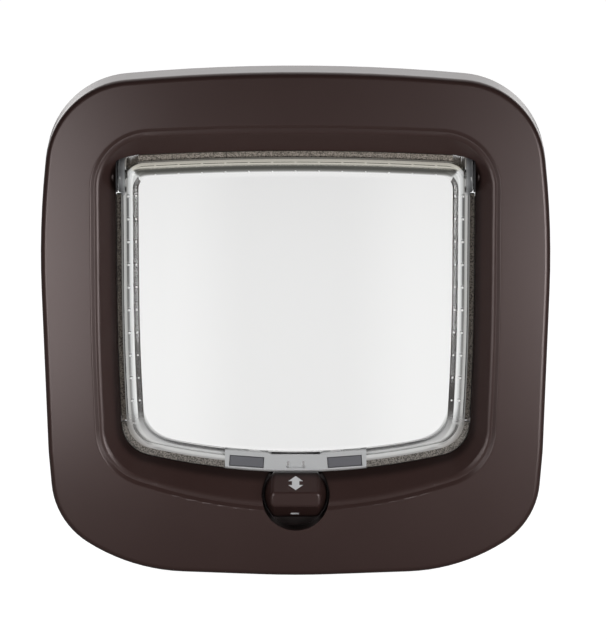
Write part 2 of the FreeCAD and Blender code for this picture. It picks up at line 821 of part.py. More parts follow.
def build_pile_strips():
    ring = new_body("pile_ring")
    inner = grow(flap_outline(), -size.pile_seat)
    outer = grow(opening_outline(), -size.pile_clear)
    drawn = sketch(ring, "pile_edges", [rounded(outer), rounded(inner)],
                   "sizes.hinge_depth - sizes.pile_thick / 2")
    pad(ring, drawn, "sizes.pile_thick")
    boxes = dict(PILE_BOXES)
    side_low = PILE_BOXES["pile_strip_left"][0][1] - size.tie_width
    far = size.opening_half_width + size.opening_corner
    near = size.carrier_half_width
    boxes["pile_strip_bottom_left"] = ((-far, -far), (-near, side_low))
    boxes["pile_strip_bottom_right"] = ((near, -far), (far, side_low))
    strips = []
    for label, ((x_low, z_low), (x_high, z_high)) in boxes.items():
        box = doc.addObject("Part::Box", label + "_extent")
        box.Length = x_high - x_low
        box.Width = 2 * size.rim_depth
        box.Height = z_high - z_low
        box.Placement.Base = Vector(x_low, -2 * size.rim_depth, z_low)
        strip = doc.addObject("Part::Common", label)
        strip.Label = label
        strip.Base = ring
        strip.Tool = box
        strips.append(strip)
    doc.recompute()
    return strips


# Magnets and their carrier.

def build_magnet_carrier():
    body = new_body("magnet_carrier")
    back = "sizes.hinge_depth - sizes.flap_thick / 2"
    front = "sizes.hinge_depth + sizes.flap_thick / 2"
    wide = size.carrier_half_width
    rise = size.opening_sag - math.sqrt(size.opening_sag ** 2 - wide ** 2)
    foot = -size.carrier_bottom
    low_left = Vector(-wide, foot + rise, 0)
    low_right = Vector(wide, foot + rise, 0)
    points = carrier_room()[2:]
    edges = [Part.Arc(low_left, Vector(0, foot, 0), low_right),
             Part.LineSegment(low_right, points[0])]
    for start, end in zip(points, points[1:]):
        edges.append(Part.LineSegment(start, end))
    edges.append(Part.LineSegment(points[-1], low_left))
    pad(body, sketch(body, "carrier_edge", [edges], back), "sizes.flap_thick")
    pocket(body, sketch(body, "carrier_pockets", magnet_loops(size.magnet_play),
                        front + " - sizes.magnet_thick"), "sizes.magnet_thick")
    half = size.catch_half_width
    slot = size.catch_slot
    top = foot + size.catch_tall
    slots = [rectangle(-half - slot / 2, foot + slot, -half + slot / 2, top),
             rectangle(half - slot / 2, foot + slot, half + slot / 2, top)]
    pocket(body, sketch(body, "catch_slots", slots, back + " - 1"), "sizes.flap_thick + 2")
    dip = [rectangle(-half - slot, foot + size.catch_foot, half + slot,
                     foot + size.catch_foot + slot)]
    pocket(body, sketch(body, "catch_dip", dip, front + " - sizes.catch_dip"),
           "sizes.catch_dip")
    return body


def magnet_loops(play):
    """The two magnets' outlines, each tilted along the curved foot of the flap."""
    loops = []
    for side in (-1, 1):
        turn = Rotation(Vector(0, 0, 1), side * size.magnet_tilt)
        centre = Vector(side * size.magnet_place, -size.magnet_height, 0)
        half_long = size.magnet_long / 2 + play
        half_tall = size.magnet_tall / 2 + play
        corners = [(-half_long, -half_tall), (half_long, -half_tall),
                   (half_long, half_tall), (-half_long, half_tall)]
        loops.append(polygon([centre + turn.multVec(Vector(x, z, 0)) for x, z in corners]))
    return loops


def build_magnets():
    """Two magnets in the flap's carrier, and two fixed ones under the sill."""
    magnets = []
    flap_y = -size.hinge_depth - size.flap_thick / 2 + size.magnet_thick / 2
    keeper_y = -size.keeper_front + size.magnet_thick / 2
    for side, word in ((-1, "left"), (1, "right")):
        tilt = Rotation(Vector(0, 1, 0), -side * size.magnet_tilt)
        spot = Vector(side * size.magnet_place, flap_y, -size.magnet_height)
        magnets.append(block("flap_magnet_" + word, "sizes.magnet_long", "sizes.magnet_thick",
                             "sizes.magnet_tall", MAGNET_CHAMFER, Placement(spot, tilt)))
        spot = Vector(side * size.keeper_place, keeper_y, -size.keeper_height)
        magnets.append(block("sill_magnet_" + word, "sizes.magnet_long", "sizes.magnet_thick",
                             "sizes.magnet_tall", MAGNET_CHAMFER, Placement(spot, Rotation())))
    return magnets


MAGNET_CHAMFER = 0.3


# Lock: a knob in front of the flap and a cam behind it, on one spindle.

def flatted_circle(radius, flat, sides):
    """A circle about the spindle with some of its four sides cut flat."""
    centre = Vector(0, -size.knob_height, 0)
    reach = math.acos(flat / radius)
    edges = []
    sides = sorted(sides)
    for i, side in enumerate(sides):
        start = Rotation(Vector(0, 0, 1), Radian=side - reach).multVec(Vector(radius, 0, 0))
        end = Rotation(Vector(0, 0, 1), Radian=side + reach).multVec(Vector(radius, 0, 0))
        edges.append(Part.LineSegment(centre + start, centre + end))
        following = sides[(i + 1) % len(sides)] + (2 * math.pi if i + 1 == len(sides) else 0)
        middle = (side + reach + following - reach) / 2
        next_start = Rotation(Vector(0, 0, 1), Radian=following - reach)
        crest = Rotation(Vector(0, 0, 1), Radian=middle).multVec(Vector(radius, 0, 0))
        edges.append(Part.Arc(centre + end, centre + crest,
                              centre + next_start.multVec(Vector(radius, 0, 0))))
    return edges


UP = math.pi / 2
DOWN = 3 * math.pi / 2
LEFT = math.pi


def build_lock_knob():
    body = new_body("lock_knob")
    centre = -size.knob_height
    disc = flatted_circle(size.knob_radius, size.knob_flat, (UP, DOWN))
    pad(body, sketch(body, "knob_rim", [disc], "sizes.knob_back"), "sizes.knob_rim")
    base = sketch(body, "grip_base", [disc], "sizes.knob_back + sizes.knob_rim")
    ridge = sketch(body, "grip_ridge",
                   [flatted_circle(size.grip_half_long, size.grip_half_thick, (UP, DOWN))],
                   "sizes.rim_depth + sizes.knob_proud")
    grip = loft("AdditiveLoft", body, "grip", base, ridge)
    ridge_y = -size.rim_depth - size.knob_proud
    base_y = -size.knob_back - size.knob_rim
    sides = dress("Fillet", body, "grip_sides", grip,
                  lambda edge: (edge.BoundBox.YMin < ridge_y + EPSILON
                                and edge.BoundBox.YMax > base_y - EPSILON),
                  "sizes.grip_side_round")
    dress("Fillet", body, "grip_round", sides,
          lambda edge: at_depth(edge, ridge_y), "sizes.grip_round")

    spindle = sketch(body, "spindle", [circle(0, centre, size.spindle_radius)], "sizes.knob_back")
    pad(body, spindle, "sizes.knob_back - sizes.bearing_back + sizes.cam_gap", True)
    flat = size.spindle_flat
    over = size.spindle_radius + OVERLAP
    half = math.sqrt(size.spindle_radius ** 2 - flat ** 2) + OVERLAP / 2
    flats = [rectangle(-half, centre + flat, half, centre + over),
             rectangle(-half, centre - over, half, centre - flat),
             rectangle(flat, centre - half, over, centre + half),
             rectangle(-over, centre - half, -flat, centre + half)]
    pocket(body, sketch(body, "spindle_flats", flats,
                        "sizes.detent_place - sizes.detent_wide / 2"), "sizes.detent_wide")
    tenon = size.tenon_half
    pad(body, sketch(body, "tenon", [rectangle(-tenon, centre - tenon, tenon, centre + tenon)],
                     "sizes.bearing_back - sizes.cam_gap"), "sizes.cam_thick / 2", True)
    pilot = sketch(body, "pilot", [circle(0, centre, size.screw_radius)])
    pocket(body, pilot, "sizes.cam_screw_length + sizes.bearing_back - sizes.cam_gap"
                        " - sizes.cam_thick + sizes.tie_width")
    return body


def build_lock_cam():
    """The disc behind the flap: flat on two neighbouring sides, so it blocks in two positions."""
    body = new_body("lock_cam")
    centre = -size.knob_height
    tenon = size.tenon_half
    plate = sketch(body, "cam_edge",
                   [flatted_circle(size.cam_radius, size.knob_flat, (UP, LEFT))],
                   "sizes.bearing_back - sizes.cam_gap")
    pad(body, plate, "sizes.cam_thick", True)
    socket = sketch(body, "cam_socket",
                    [rectangle(-tenon, centre - tenon, tenon, centre + tenon)],
                    "sizes.bearing_back - sizes.cam_gap - sizes.cam_thick / 2")
    pocket(body, socket, "sizes.cam_thick / 2")
    hole = sketch(body, "cam_hole", [circle(0, centre, size.screw_radius + size.pin_play)])
    drilled = pocket(body, hole, "sizes.bearing_back")
    cam_back = -(size.bearing_back - size.cam_gap - size.cam_thick)
    dress("Chamfer", body, "cam_countersink", drilled,
          lambda edge: (at_depth(edge, cam_back)
                        and is_ring(edge, size.screw_radius + size.pin_play)),
          "sizes.cam_thick / 2 - sizes.pin_play")
    return body


def countersunk_profile(length, head_tall, head_radius):
    """Half outline of a countersunk screw that points down from its flat head at zero."""
    shank = size.screw_radius
    return [(0, 0), (head_radius, 0), (shank, -head_tall), (shank, -length + shank),
            (0, -length)]


def build_screws():
    """Four screws of the liner as one group, and the cam's own screw."""
    head = size.screw_head_radius - size.pin_play
    tall = size.screw_head_radius - size.screw_radius
    profile = countersunk_profile(size.screw_length, tall, head)
    first = turned("liner_screw", profile, Placement())
    add_cross_recess(first)
    copies = []
    for i, (x, z) in enumerate(liner_screw_spots()):
        copy = doc.addObject("Part::Feature", "liner_screw_%d" % (i + 1))
        copy.Shape = first.Shape.copy()
        copy.Placement = Placement(Vector(x, 0, z), TO_BACK)
        copies.append(copy)
    group = doc.addObject("Part::Compound", "liner_screws")
    group.Label = "liner_screws"
    group.Links = copies
    cam_back = -(size.bearing_back - size.cam_gap - size.cam_thick)
    cam_sink = size.cam_thick / 2 - 2 * size.pin_play
    cam_profile = countersunk_profile(size.cam_screw_length, cam_sink,
                                      size.screw_radius + cam_sink)
    cam_screw = turned("cam_screw", cam_profile,
                       Placement(Vector(0, cam_back, -size.knob_height), TO_BACK))
    add_cross_recess(cam_screw)
    doc.recompute()
    return [group, cam_screw]


def add_cross_recess(body):
    """Cut the cross in a screw's head, from its top face at zero."""
    long_half = size.screw_radius
    thin_half = size.screw_radius / 5
    drawn = body.newObject("Sketcher::SketchObject", body.Name + "_cross")
    support = next(f for f in body.Origin.OriginFeatures if f.Role == "XY_Plane")
    drawn.AttachmentSupport = [(support, "")]
    drawn.MapMode = "FlatFace"
    corners = [(thin_half, thin_half), (thin_half, long_half), (-thin_half, long_half),
               (-thin_half, thin_half), (-long_half, thin_half), (-long_half, -thin_half),
               (-thin_half, -thin_half), (-thin_half, -long_half), (thin_half, -long_half),
               (thin_half, -thin_half), (long_half, -thin_half), (long_half, thin_half)]
    drawn.addGeometry(polygon([Vector(x, y, 0) for x, y in corners]), False)
    pocket(body, drawn, "sizes.tie_width", True)


def build_pins():
    """Steel hinge pins pressed into the frame, and the wire that clicks under the spindle."""
    pins = []
    end = ear_end()
    start = end - size.pin_in_ear
    stop = end + size.ear_gap + size.wall / 2 + size.hinge_boss_length
    chamfer = size.pin_radius / 4
    length = stop - start
    profile = [(0, 0), (size.pin_radius - chamfer, 0), (size.pin_radius, chamfer),
               (size.pin_radius, length - chamfer), (size.pin_radius - chamfer, length),
               (0, length)]
    for side, word in ((-1, "left"), (1, "right")):
        turn = Rotation(Vector(0, 1, 0), 90 * side)
        spot = Vector(side * start, -size.hinge_depth, size.hinge_height)
        pins.append(turned("hinge_pin_" + word, profile, Placement(spot, turn)))
    long_wire = 2 * size.detent_half_long
    wire_profile = [(0, 0), (size.detent_wire, 0), (size.detent_wire, long_wire), (0, long_wire)]
    spot = Vector(-size.detent_half_long, -size.detent_place, detent_height())
    pins.append(turned("detent_spring", wire_profile, Placement(spot, TO_RIGHT)))
    return pins


def export(pieces):
    """Check every object and every shape, then write one file for each piece."""
    doc.recompute()
    for item in doc.Objects:
        if "Invalid" in item.State or "Error" in item.State:
            raise ValueError("%s failed: %s" % (item.Name, item.State))
    for piece in pieces:
        shape = piece.Shape
        if shape.isNull() or not shape.isValid() or not shape.Solids:
            raise ValueError("%s has no valid solid" % piece.Label)
    for piece in pieces:
        piece.Shape.exportStep("parts/%s.step" % piece.Label)
        print("%-26s %2d solid, %9.1f mm3" % (piece.Label, len(piece.Shape.Solids),
                                              piece.Shape.Volume))


pieces = [build_front_frame(), build_door_liner(), build_flap_panel(), build_magnet_carrier(),
          build_lock_knob(), build_lock_cam()]
pieces += build_pile_strips()
pieces += build_magnets()
pieces += build_screws()
pieces += build_pins()
export(pieces)
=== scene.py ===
# %% [markdown]
# # A cat flap in a brown moulded frame
# The solids of the flap come ready made and true to size. Here they get what they are made of,
# the soft brush seals, the marks on the lock knob and a plain studio. All lengths are in metres
# inside Blender, so a value in millimetres is multiplied by MM.

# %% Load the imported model
import math
import random

import bmesh
import bpy
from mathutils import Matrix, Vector
from mathutils.bvhtree import BVHTree


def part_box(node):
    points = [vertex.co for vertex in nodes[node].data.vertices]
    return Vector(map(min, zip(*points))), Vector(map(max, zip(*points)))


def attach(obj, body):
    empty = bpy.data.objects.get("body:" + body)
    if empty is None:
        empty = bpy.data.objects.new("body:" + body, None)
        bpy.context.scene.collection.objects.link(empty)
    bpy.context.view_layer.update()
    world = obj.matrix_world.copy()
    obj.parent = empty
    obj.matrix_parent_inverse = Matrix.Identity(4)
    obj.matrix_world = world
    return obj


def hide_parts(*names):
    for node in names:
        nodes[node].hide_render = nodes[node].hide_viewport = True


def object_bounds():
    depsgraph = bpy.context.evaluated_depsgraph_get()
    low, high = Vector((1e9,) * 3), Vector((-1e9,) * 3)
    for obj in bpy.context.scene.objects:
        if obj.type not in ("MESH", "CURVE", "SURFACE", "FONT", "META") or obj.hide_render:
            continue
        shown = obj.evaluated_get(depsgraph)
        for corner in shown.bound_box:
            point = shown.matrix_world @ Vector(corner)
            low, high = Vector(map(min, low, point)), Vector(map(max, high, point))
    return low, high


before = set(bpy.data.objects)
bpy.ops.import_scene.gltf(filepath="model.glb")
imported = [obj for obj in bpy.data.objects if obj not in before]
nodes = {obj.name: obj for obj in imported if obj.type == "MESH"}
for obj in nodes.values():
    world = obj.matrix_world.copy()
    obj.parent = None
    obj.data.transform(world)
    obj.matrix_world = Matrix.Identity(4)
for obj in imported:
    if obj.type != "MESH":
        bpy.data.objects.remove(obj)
cad_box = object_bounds()
MM = 0.001
bpy.ops.object.select_all(action="DESELECT")
print("nodes:", len(nodes), "box:", cad_box)

# %% [markdown]
# ## The camera
# The picture was taken from far away with a long lens, a little above the flap, so its sides
# stay almost parallel. A long lens far off gives the same calm shape. The camera looks a few
# millimetres beside the flap's middle, because the flap is not quite centred in the picture.

# %% Camera
CAMERA_RISE = math.radians(13.0)
CAMERA_DISTANCE = 2600 * MM
MM_PER_PIXEL = 0.465
IMAGE_WIDTH = 607
SENSOR_WIDTH = 36.0
LOOK_RIGHT = 3.67 * MM
LOOK_UP = 2.19 * MM

up_in_picture = Vector((0, math.sin(CAMERA_RISE), math.cos(CAMERA_RISE)))
towards_camera = Vector((0, -math.cos(CAMERA_RISE), math.sin(CAMERA_RISE)))
aim = Vector((LOOK_RIGHT, -18 * MM, 0)) + up_in_picture * LOOK_UP
bpy.ops.object.camera_add(location=aim + towards_camera * CAMERA_DISTANCE,
                          rotation=(math.pi / 2 - CAMERA_RISE, 0, 0))
camera = bpy.context.object
camera.data.sensor_fit = "HORIZONTAL"
camera.data.sensor_width = SENSOR_WIDTH
camera.data.lens = SENSOR_WIDTH * CAMERA_DISTANCE / (IMAGE_WIDTH * MM_PER_PIXEL * MM)
bpy.context.scene.camera = camera
print("lens %.0f mm" % camera.data.lens)

# %% [markdown]
# ## A plain studio
# The flap stands in front of white. Two small soft boxes before each side of the frame make its
# sides shine and leave its top and foot dark, a wide one above lights the rim, and two weak ones
# behind keep the back readable. Light Path makes the floor and the world white for the camera and
# through clear plastic, and leaves them modest as a source of light.

# %% Short ways to write shader nodes


def node(tree, kind, **settings):
    """Add a shader node; a setting is a property or, as a dictionary, its input values."""
    made = tree.nodes.new(kind)
    for name, value in settings.items():
        if name == "inputs":
            for key, number in value.items():
                made.inputs[key].default_value = number
        else:
            setattr(made, name, value)
    return made


def calculate(tree, operation, first, second=None, third=None):
    """A math node on numbers or sockets; it returns its output."""
    made = node(tree, "ShaderNodeMath", operation=operation)
    for socket, value in zip(made.inputs, (first, second, third)):
        if value is None:
            continue
        if isinstance(value, (int, float)):
            socket.default_value = value
        else:
            tree.links.new(value, socket)
    return made.outputs[0]


def product(tree, first, *others):
    """All the values multiplied."""
    for other in others:
        first = calculate(tree, "MULTIPLY", first, other)
    return first


def smooth_step(tree, value, low, high):
    """From nothing at the low end to one at the high end, without a kink."""
    made = node(tree, "ShaderNodeMapRange", interpolation_type="SMOOTHSTEP",
                inputs={"From Min": low, "From Max": high})
    tree.links.new(value, made.inputs["Value"])
    return made.outputs["Result"]


def step_down(tree, value, low, high):
    """From one at the low end to nothing at the high end."""
    return calculate(tree, "SUBTRACT", 1.0, smooth_step(tree, value, low, high))


def scaled(tree, colour, gain):
    """A colour made brighter or darker."""
    made = node(tree, "ShaderNodeVectorMath", operation="SCALE")
    tree.links.new(colour, made.inputs[0])
    tree.links.new(gain, made.inputs["Scale"])
    return made.outputs[0]


def place_in_mm(tree):
    """Where a point lies on its piece: x, y and z in millimetres."""
    place = node(tree, "ShaderNodeTexCoord")
    split = node(tree, "ShaderNodeSeparateXYZ")
    tree.links.new(place.outputs["Object"], split.inputs[0])
    return [calculate(tree, "MULTIPLY", split.outputs[axis], 1 / MM) for axis in "XYZ"]


print("helpers ready")

# %% World and view
bpy.context.scene.view_settings.view_transform = "Standard"
WORLD_LIGHT = 0.14
WORLD_BACK_GLOSS = 1.5
BACKDROP_NEAR, BACKDROP_FAR = 0.1, 0.5
BACKDROP_LOW, BACKDROP_HIGH = -0.15, 0.04

world = bpy.data.worlds.new("studio")
bpy.context.scene.world = world
world.use_nodes = True


def build_world(tree):
    """White where it is seen straight on or through clear plastic. Gloss sees white only high
    up behind the flap, where the backdrop is, and dark studio elsewhere."""
    tree.nodes.clear()
    out = node(tree, "ShaderNodeOutputWorld")
    path = node(tree, "ShaderNodeLightPath")
    rays = path.outputs
    seen = calculate(tree, "MAXIMUM", rays["Is Camera Ray"], rays["Is Transmission Ray"])
    coordinates = node(tree, "ShaderNodeTexCoord")
    split = node(tree, "ShaderNodeSeparateXYZ")
    tree.links.new(coordinates.outputs["Generated"], split.inputs[0])
    behind = smooth_step(tree, split.outputs["Y"], BACKDROP_NEAR, BACKDROP_FAR)
    high = smooth_step(tree, split.outputs["Z"], BACKDROP_LOW, BACKDROP_HIGH)
    backdrop = product(tree, behind, high, WORLD_BACK_GLOSS)
    gloss = node(tree, "ShaderNodeMix", data_type="FLOAT", inputs={"A": WORLD_LIGHT})
    tree.links.new(rays["Is Glossy Ray"], gloss.inputs["Factor"])
    tree.links.new(backdrop, gloss.inputs["B"])
    strength = node(tree, "ShaderNodeMix", data_type="FLOAT", inputs={"B": 1.0})
    tree.links.new(seen, strength.inputs["Factor"])
    tree.links.new(gloss.outputs["Result"], strength.inputs["A"])
    light = node(tree, "ShaderNodeBackground", inputs={"Color": (1, 1, 1, 1)})
    tree.links.new(strength.outputs["Result"], light.inputs["Strength"])
    tree.links.new(light.outputs[0], out.inputs["Surface"])


build_world(world.node_tree)
print("world nodes:", len(world.node_tree.nodes))

# %% Soft boxes


def soft_box(name, place, size, power, look_at=(0, 0, 0)):
    """A square lamp of a size in metres and a power in watts that faces a point."""
    direction = Vector(look_at) - Vector(place)
    turn = direction.to_track_quat("-Z", "Y").to_euler()
    bpy.ops.object.light_add(type="AREA", location=place, rotation=turn)
    lamp = bpy.context.object
    lamp.name = name
    lamp.data.shape = "RECTANGLE"
    lamp.data.size, lamp.data.size_y = size
    lamp.data.energy = power
    return lamp


soft_box("left_front", (-0.20, -0.45, -0.085), (0.10, 0.18), 0.44)
soft_box("left_near", (-0.14, -0.20, -0.012), (0.10, 0.18), 0.165)
soft_box("right_front", (0.235, -0.45, -0.08), (0.17, 0.18), 0.71)
soft_box("right_near", (0.25, -0.30, -0.045), (0.18, 0.18), 0.54)
soft_box("above", (0.0, 0.05, 0.55), (0.60, 0.30), 0.50)
soft_box("behind_left", (-0.55, 0.60, 0.30), (0.50, 0.40), 2.2)
soft_box("behind_right", (0.55, 0.60, 0.20), (0.50, 0.40), 1.7)
print("lamps:", len(bpy.data.lights))

# %% [markdown]
# ## The floor
# A plain pale floor under the frame. It shows as white and still takes the soft shadow.

# %% Floor
FLOOR_SIZE = 6.0
FLOOR_GAP = 0.1 * MM
FLOOR_SEEN = 0.99
FLOOR_THROUGH = 0.85
FLOOR_GLOSS = 0.06
FLOOR_PAINT = (0.25, 0.25, 0.25)

bpy.ops.mesh.primitive_plane_add(size=FLOOR_SIZE,
                                 location=(0, 0, cad_box[0][2] - FLOOR_GAP))
floor = bpy.context.object
floor.name = "floor"

floor_paint = bpy.data.materials.new("floor_paint")
floor_paint.use_nodes = True


def build_floor_paint(tree):
    """Matt white that also glows for the eye and through clear plastic, and hardly in gloss."""
    tree.nodes.clear()
    out = node(tree, "ShaderNodeOutputMaterial")
    rays = node(tree, "ShaderNodeLightPath").outputs
    strength = calculate(tree, "MULTIPLY", rays["Is Camera Ray"], FLOOR_SEEN)
    strength = calculate(tree, "MULTIPLY_ADD", rays["Is Transmission Ray"], FLOOR_THROUGH, strength)
    strength = calculate(tree, "MULTIPLY_ADD", rays["Is Glossy Ray"], FLOOR_GLOSS, strength)
    matt = node(tree, "ShaderNodeBsdfDiffuse", inputs={"Color": (*FLOOR_PAINT, 1)})
    glow = node(tree, "ShaderNodeEmission", inputs={"Color": (1, 1, 1, 1)})
    both = node(tree, "ShaderNodeAddShader")
    tree.links.new(strength, glow.inputs["Strength"])
    tree.links.new(matt.outputs[0], both.inputs[0])
    tree.links.new(glow.outputs[0], both.inputs[1])
    tree.links.new(both.outputs[0], out.inputs["Surface"])


build_floor_paint(floor_paint.node_tree)
floor.data.materials.append(floor_paint)
print("floor at %.4f m" % floor.location.z)

# %% [markdown]
# ## Moulded plastic
# The frame and knob are moulded in a tool whose steel was etched, so the surface has a very fine
# leathery grain and a satin sheen. The grain and a faint cloudiness are useful in several
# materials, so they are one node group, `moulded_skin`, built once and placed in each.

# %% Node group for a moulded skin


def group_socket(tree, name, kind, way, value=None):
    """An input or output of a node group."""
    made = tree.interface.new_socket(name=name, in_out=way, socket_type=kind)
    if value is not None:
        made.default_value = value
    return made


def build_moulded_skin():
    """Colour, roughness and grain height of an etched moulding, from the object's own place."""
    tree = bpy.data.node_groups.new("moulded_skin", "ShaderNodeTree")
    group_socket(tree, "Colour", "NodeSocketColor", "INPUT", (0.1, 0.1, 0.1, 1))
    group_socket(tree, "Cloudiness", "NodeSocketFloat", "INPUT", 0.1)
    group_socket(tree, "Grain Size", "NodeSocketFloat", "INPUT", 2500.0)
    group_socket(tree, "Roughness", "NodeSocketFloat", "INPUT", 0.35)
    group_socket(tree, "Colour", "NodeSocketColor", "OUTPUT")
    group_socket(tree, "Roughness", "NodeSocketFloat", "OUTPUT")
    group_socket(tree, "Height", "NodeSocketFloat", "OUTPUT")
    given = node(tree, "NodeGroupInput")
    result = node(tree, "NodeGroupOutput")
    place = node(tree, "ShaderNodeTexCoord")
    cloud = node(tree, "ShaderNodeTexNoise", inputs={"Scale": 22.0, "Detail": 3.0})
    tree.links.new(place.outputs["Object"], cloud.inputs["Vector"])
    centred = calculate(tree, "SUBTRACT", cloud.outputs["Fac"], 0.5)
    bright = calculate(tree, "MULTIPLY_ADD", centred, given.outputs["Cloudiness"], 1.0)
    tree.links.new(scaled(tree, given.outputs["Colour"], bright), result.inputs["Colour"])
    tree.links.new(product(tree, given.outputs["Roughness"], bright),
                   result.inputs["Roughness"])
    grain = node(tree, "ShaderNodeTexNoise", inputs={"Detail": 2.0, "Roughness": 0.6})
    tree.links.new(place.outputs["Object"], grain.inputs["Vector"])
    tree.links.new(given.outputs["Grain Size"], grain.inputs["Scale"])
    tree.links.new(grain.outputs["Fac"], result.inputs["Height"])
    return tree


moulded_skin = build_moulded_skin()
print("node group:", moulded_skin.name)

# %% Brown satin plastic
WARM_SHEEN = (1.0, 0.88, 0.87)
WHITE_SHEEN = (1.0, 1.0, 1.0)


def moulded_plastic(name, colour, roughness, cloudiness=0.15, grain_size=2500.0, grain=0.12,
                    specular=0.5, sheen=WARM_SHEEN):
    """A material for a moulded piece, on the shared skin."""
    material = bpy.data.materials.new(name)
    material.use_nodes = True
    tree = material.node_tree
    shader = tree.nodes["Principled BSDF"]
    shader.inputs["Specular IOR Level"].default_value = specular
    shader.inputs["Specular Tint"].default_value = (*sheen, 1)
    skin = node(tree, "ShaderNodeGroup", node_tree=moulded_skin)
    skin.inputs["Colour"].default_value = (*colour, 1)
    skin.inputs["Cloudiness"].default_value = cloudiness
    skin.inputs["Grain Size"].default_value = grain_size
    skin.inputs["Roughness"].default_value = roughness
    bump = node(tree, "ShaderNodeBump", inputs={"Strength": grain, "Distance": 0.05 * MM})
    tree.links.new(skin.outputs["Colour"], shader.inputs["Base Color"])
    tree.links.new(skin.outputs["Roughness"], shader.inputs["Roughness"])
    tree.links.new(skin.outputs["Height"], bump.inputs["Height"])
    tree.links.new(bump.outputs["Normal"], shader.inputs["Normal"])
    return material


def paint(names, material):
    """Give ready-made pieces a material in all their slots."""
    for name in names:
        mesh = nodes[name].data
        if not mesh.materials:
            mesh.materials.append(material)
        for i in range(len(mesh.materials)):
            mesh.materials[i] = material


print("materials for mouldings ready")

# %% [markdown]
# ## Shade round the knob
# The knob sits in a narrow round recess that hardly any light gets into, so the brown is
# scaled down by depth and by nearness to the knob: a painted shade.

# %% Shade in the recess
KNOB_HEIGHT = -83.2
RECESS_SHADE = 0.10
RECESS_RIM = 0.6


def shade_recess(material, deep, shallow, wide):
    """Darken a brown plastic round the knob, deeper than a plane and nearer than a radius, in
    millimetres: hardly any light gets into the narrow recess."""
    tree = material.node_tree
    shader = tree.nodes["Principled BSDF"]
    colour = shader.inputs["Base Color"].links[0].from_socket
    x, y, z = place_in_mm(tree)
    z = calculate(tree, "SUBTRACT", z, KNOB_HEIGHT)
    radius = calculate(tree, "SQRT", calculate(tree, "MULTIPLY_ADD", x, x, product(tree, z, z)))
    # Painted shade: the brown is darkened deep in the recess, near the knob.
    amount = product(tree, step_down(tree, radius, wide - RECESS_RIM, wide),
                     smooth_step(tree, y, shallow, deep))
    gain = calculate(tree, "MULTIPLY_ADD", amount, RECESS_SHADE - 1.0, 1.0)
    tree.links.new(scaled(tree, colour, gain), shader.inputs["Base Color"])


FRAME_BROWN = (0.0365, 0.0195, 0.0172)
KNOB_BROWN = (0.034, 0.0175, 0.0155)
SATIN = 0.31
RECESS_RADIUS = 16.4

brown_satin = moulded_plastic("brown_satin", FRAME_BROWN, SATIN)
shade_recess(brown_satin, -15.5, -18.0, RECESS_RADIUS)
paint(["front_frame", "door_liner"], brown_satin)
knob_satin = moulded_plastic("knob_satin", KNOB_BROWN, SATIN)
shade_recess(knob_satin, -12.4, -15.5, RECESS_RADIUS)
paint(["lock_knob", "lock_cam"], knob_satin)
milky = moulded_plastic("milky_plastic", (0.47, 0.475, 0.48), 0.4, 0.05, grain=0.05,
                        sheen=WHITE_SHEEN)
paint(["magnet_carrier"], milky)
print("painted:", brown_satin.name, knob_satin.name, milky.name)

# %% [markdown]
# ## Clear plastic
# The flap is one clear moulding. Real refraction in the solid draws its bevels and the channel.
# The tint is partly the plastic's own: a thick moulding darkens towards its edges, because the
# light has a longer way through it. Its darker steps at the bevel, rib and channel and the dark
# ears, which sit in the shade of their pockets, are painted shade. One node group, `pane_edge`,
# measures how far a point lies outside the thin pane, in millimetres, and the material takes its
# tint from that. The outline's numbers are those of the solid: straight sides that lean in below
# a soft hip, a crowned top and a sagging foot. Smooth maximum rounds the corners between them.

# %% Node group for the distance from the pane
PANE_HALF = 73.0
PANE_TOP = 69.8
PANE_FOOT = 63.9
CROWN = 1258.0
HIP_START = 15.0
HIP_RADIUS = 1200.0
FOOT_SAG = 300.0
TOP_CORNER = 6.0
FOOT_CORNER = 23.0


def build_pane_edge():
    """Distance outside the pane, across and up on the flap, and how much farther a point lies
    above the pane than beside it, all in millimetres."""
    tree = bpy.data.node_groups.new("pane_edge", "ShaderNodeTree")
    group_socket(tree, "Distance", "NodeSocketFloat", "OUTPUT")
    group_socket(tree, "Across", "NodeSocketFloat", "OUTPUT")
    group_socket(tree, "Up", "NodeSocketFloat", "OUTPUT")
    group_socket(tree, "Top", "NodeSocketFloat", "OUTPUT")
    result = node(tree, "NodeGroupOutput")
    x, _, up = place_in_mm(tree)
    across = calculate(tree, "ABSOLUTE", x)
    below = calculate(tree, "MAXIMUM", calculate(tree, "SUBTRACT", HIP_START, up), 0.0)
    lean = calculate(tree, "DIVIDE", product(tree, below, below), 2 * HIP_RADIUS)
    side = calculate(tree, "ADD", calculate(tree, "SUBTRACT", across, PANE_HALF), lean)
    square = product(tree, across, across)
    over = calculate(tree, "MULTIPLY_ADD", square, 0.5 / CROWN,
                     calculate(tree, "SUBTRACT", up, PANE_TOP))
    under = calculate(tree, "MULTIPLY_ADD", square, 0.5 / FOOT_SAG,
                      calculate(tree, "SUBTRACT", -PANE_FOOT, up))
    upper = calculate(tree, "SMOOTH_MAX", side, over, TOP_CORNER)
    distance = calculate(tree, "SMOOTH_MAX", upper, under, FOOT_CORNER)
    tree.links.new(distance, result.inputs["Distance"])
    tree.links.new(across, result.inputs["Across"])
    tree.links.new(up, result.inputs["Up"])
    tree.links.new(calculate(tree, "SUBTRACT", over, side), result.inputs["Top"])
    return tree


pane_edge = build_pane_edge()
print("node group:", pane_edge.name)

# %% [markdown]
# ## Shade in the reveal
# Beside and below the flap the sloped wall of the frame runs down to the brush seal. The seal
# takes the light away there, so the wall gets darker over its last millimetres.

# %% Shade deep in the reveal
REVEAL_SHADE = 0.6


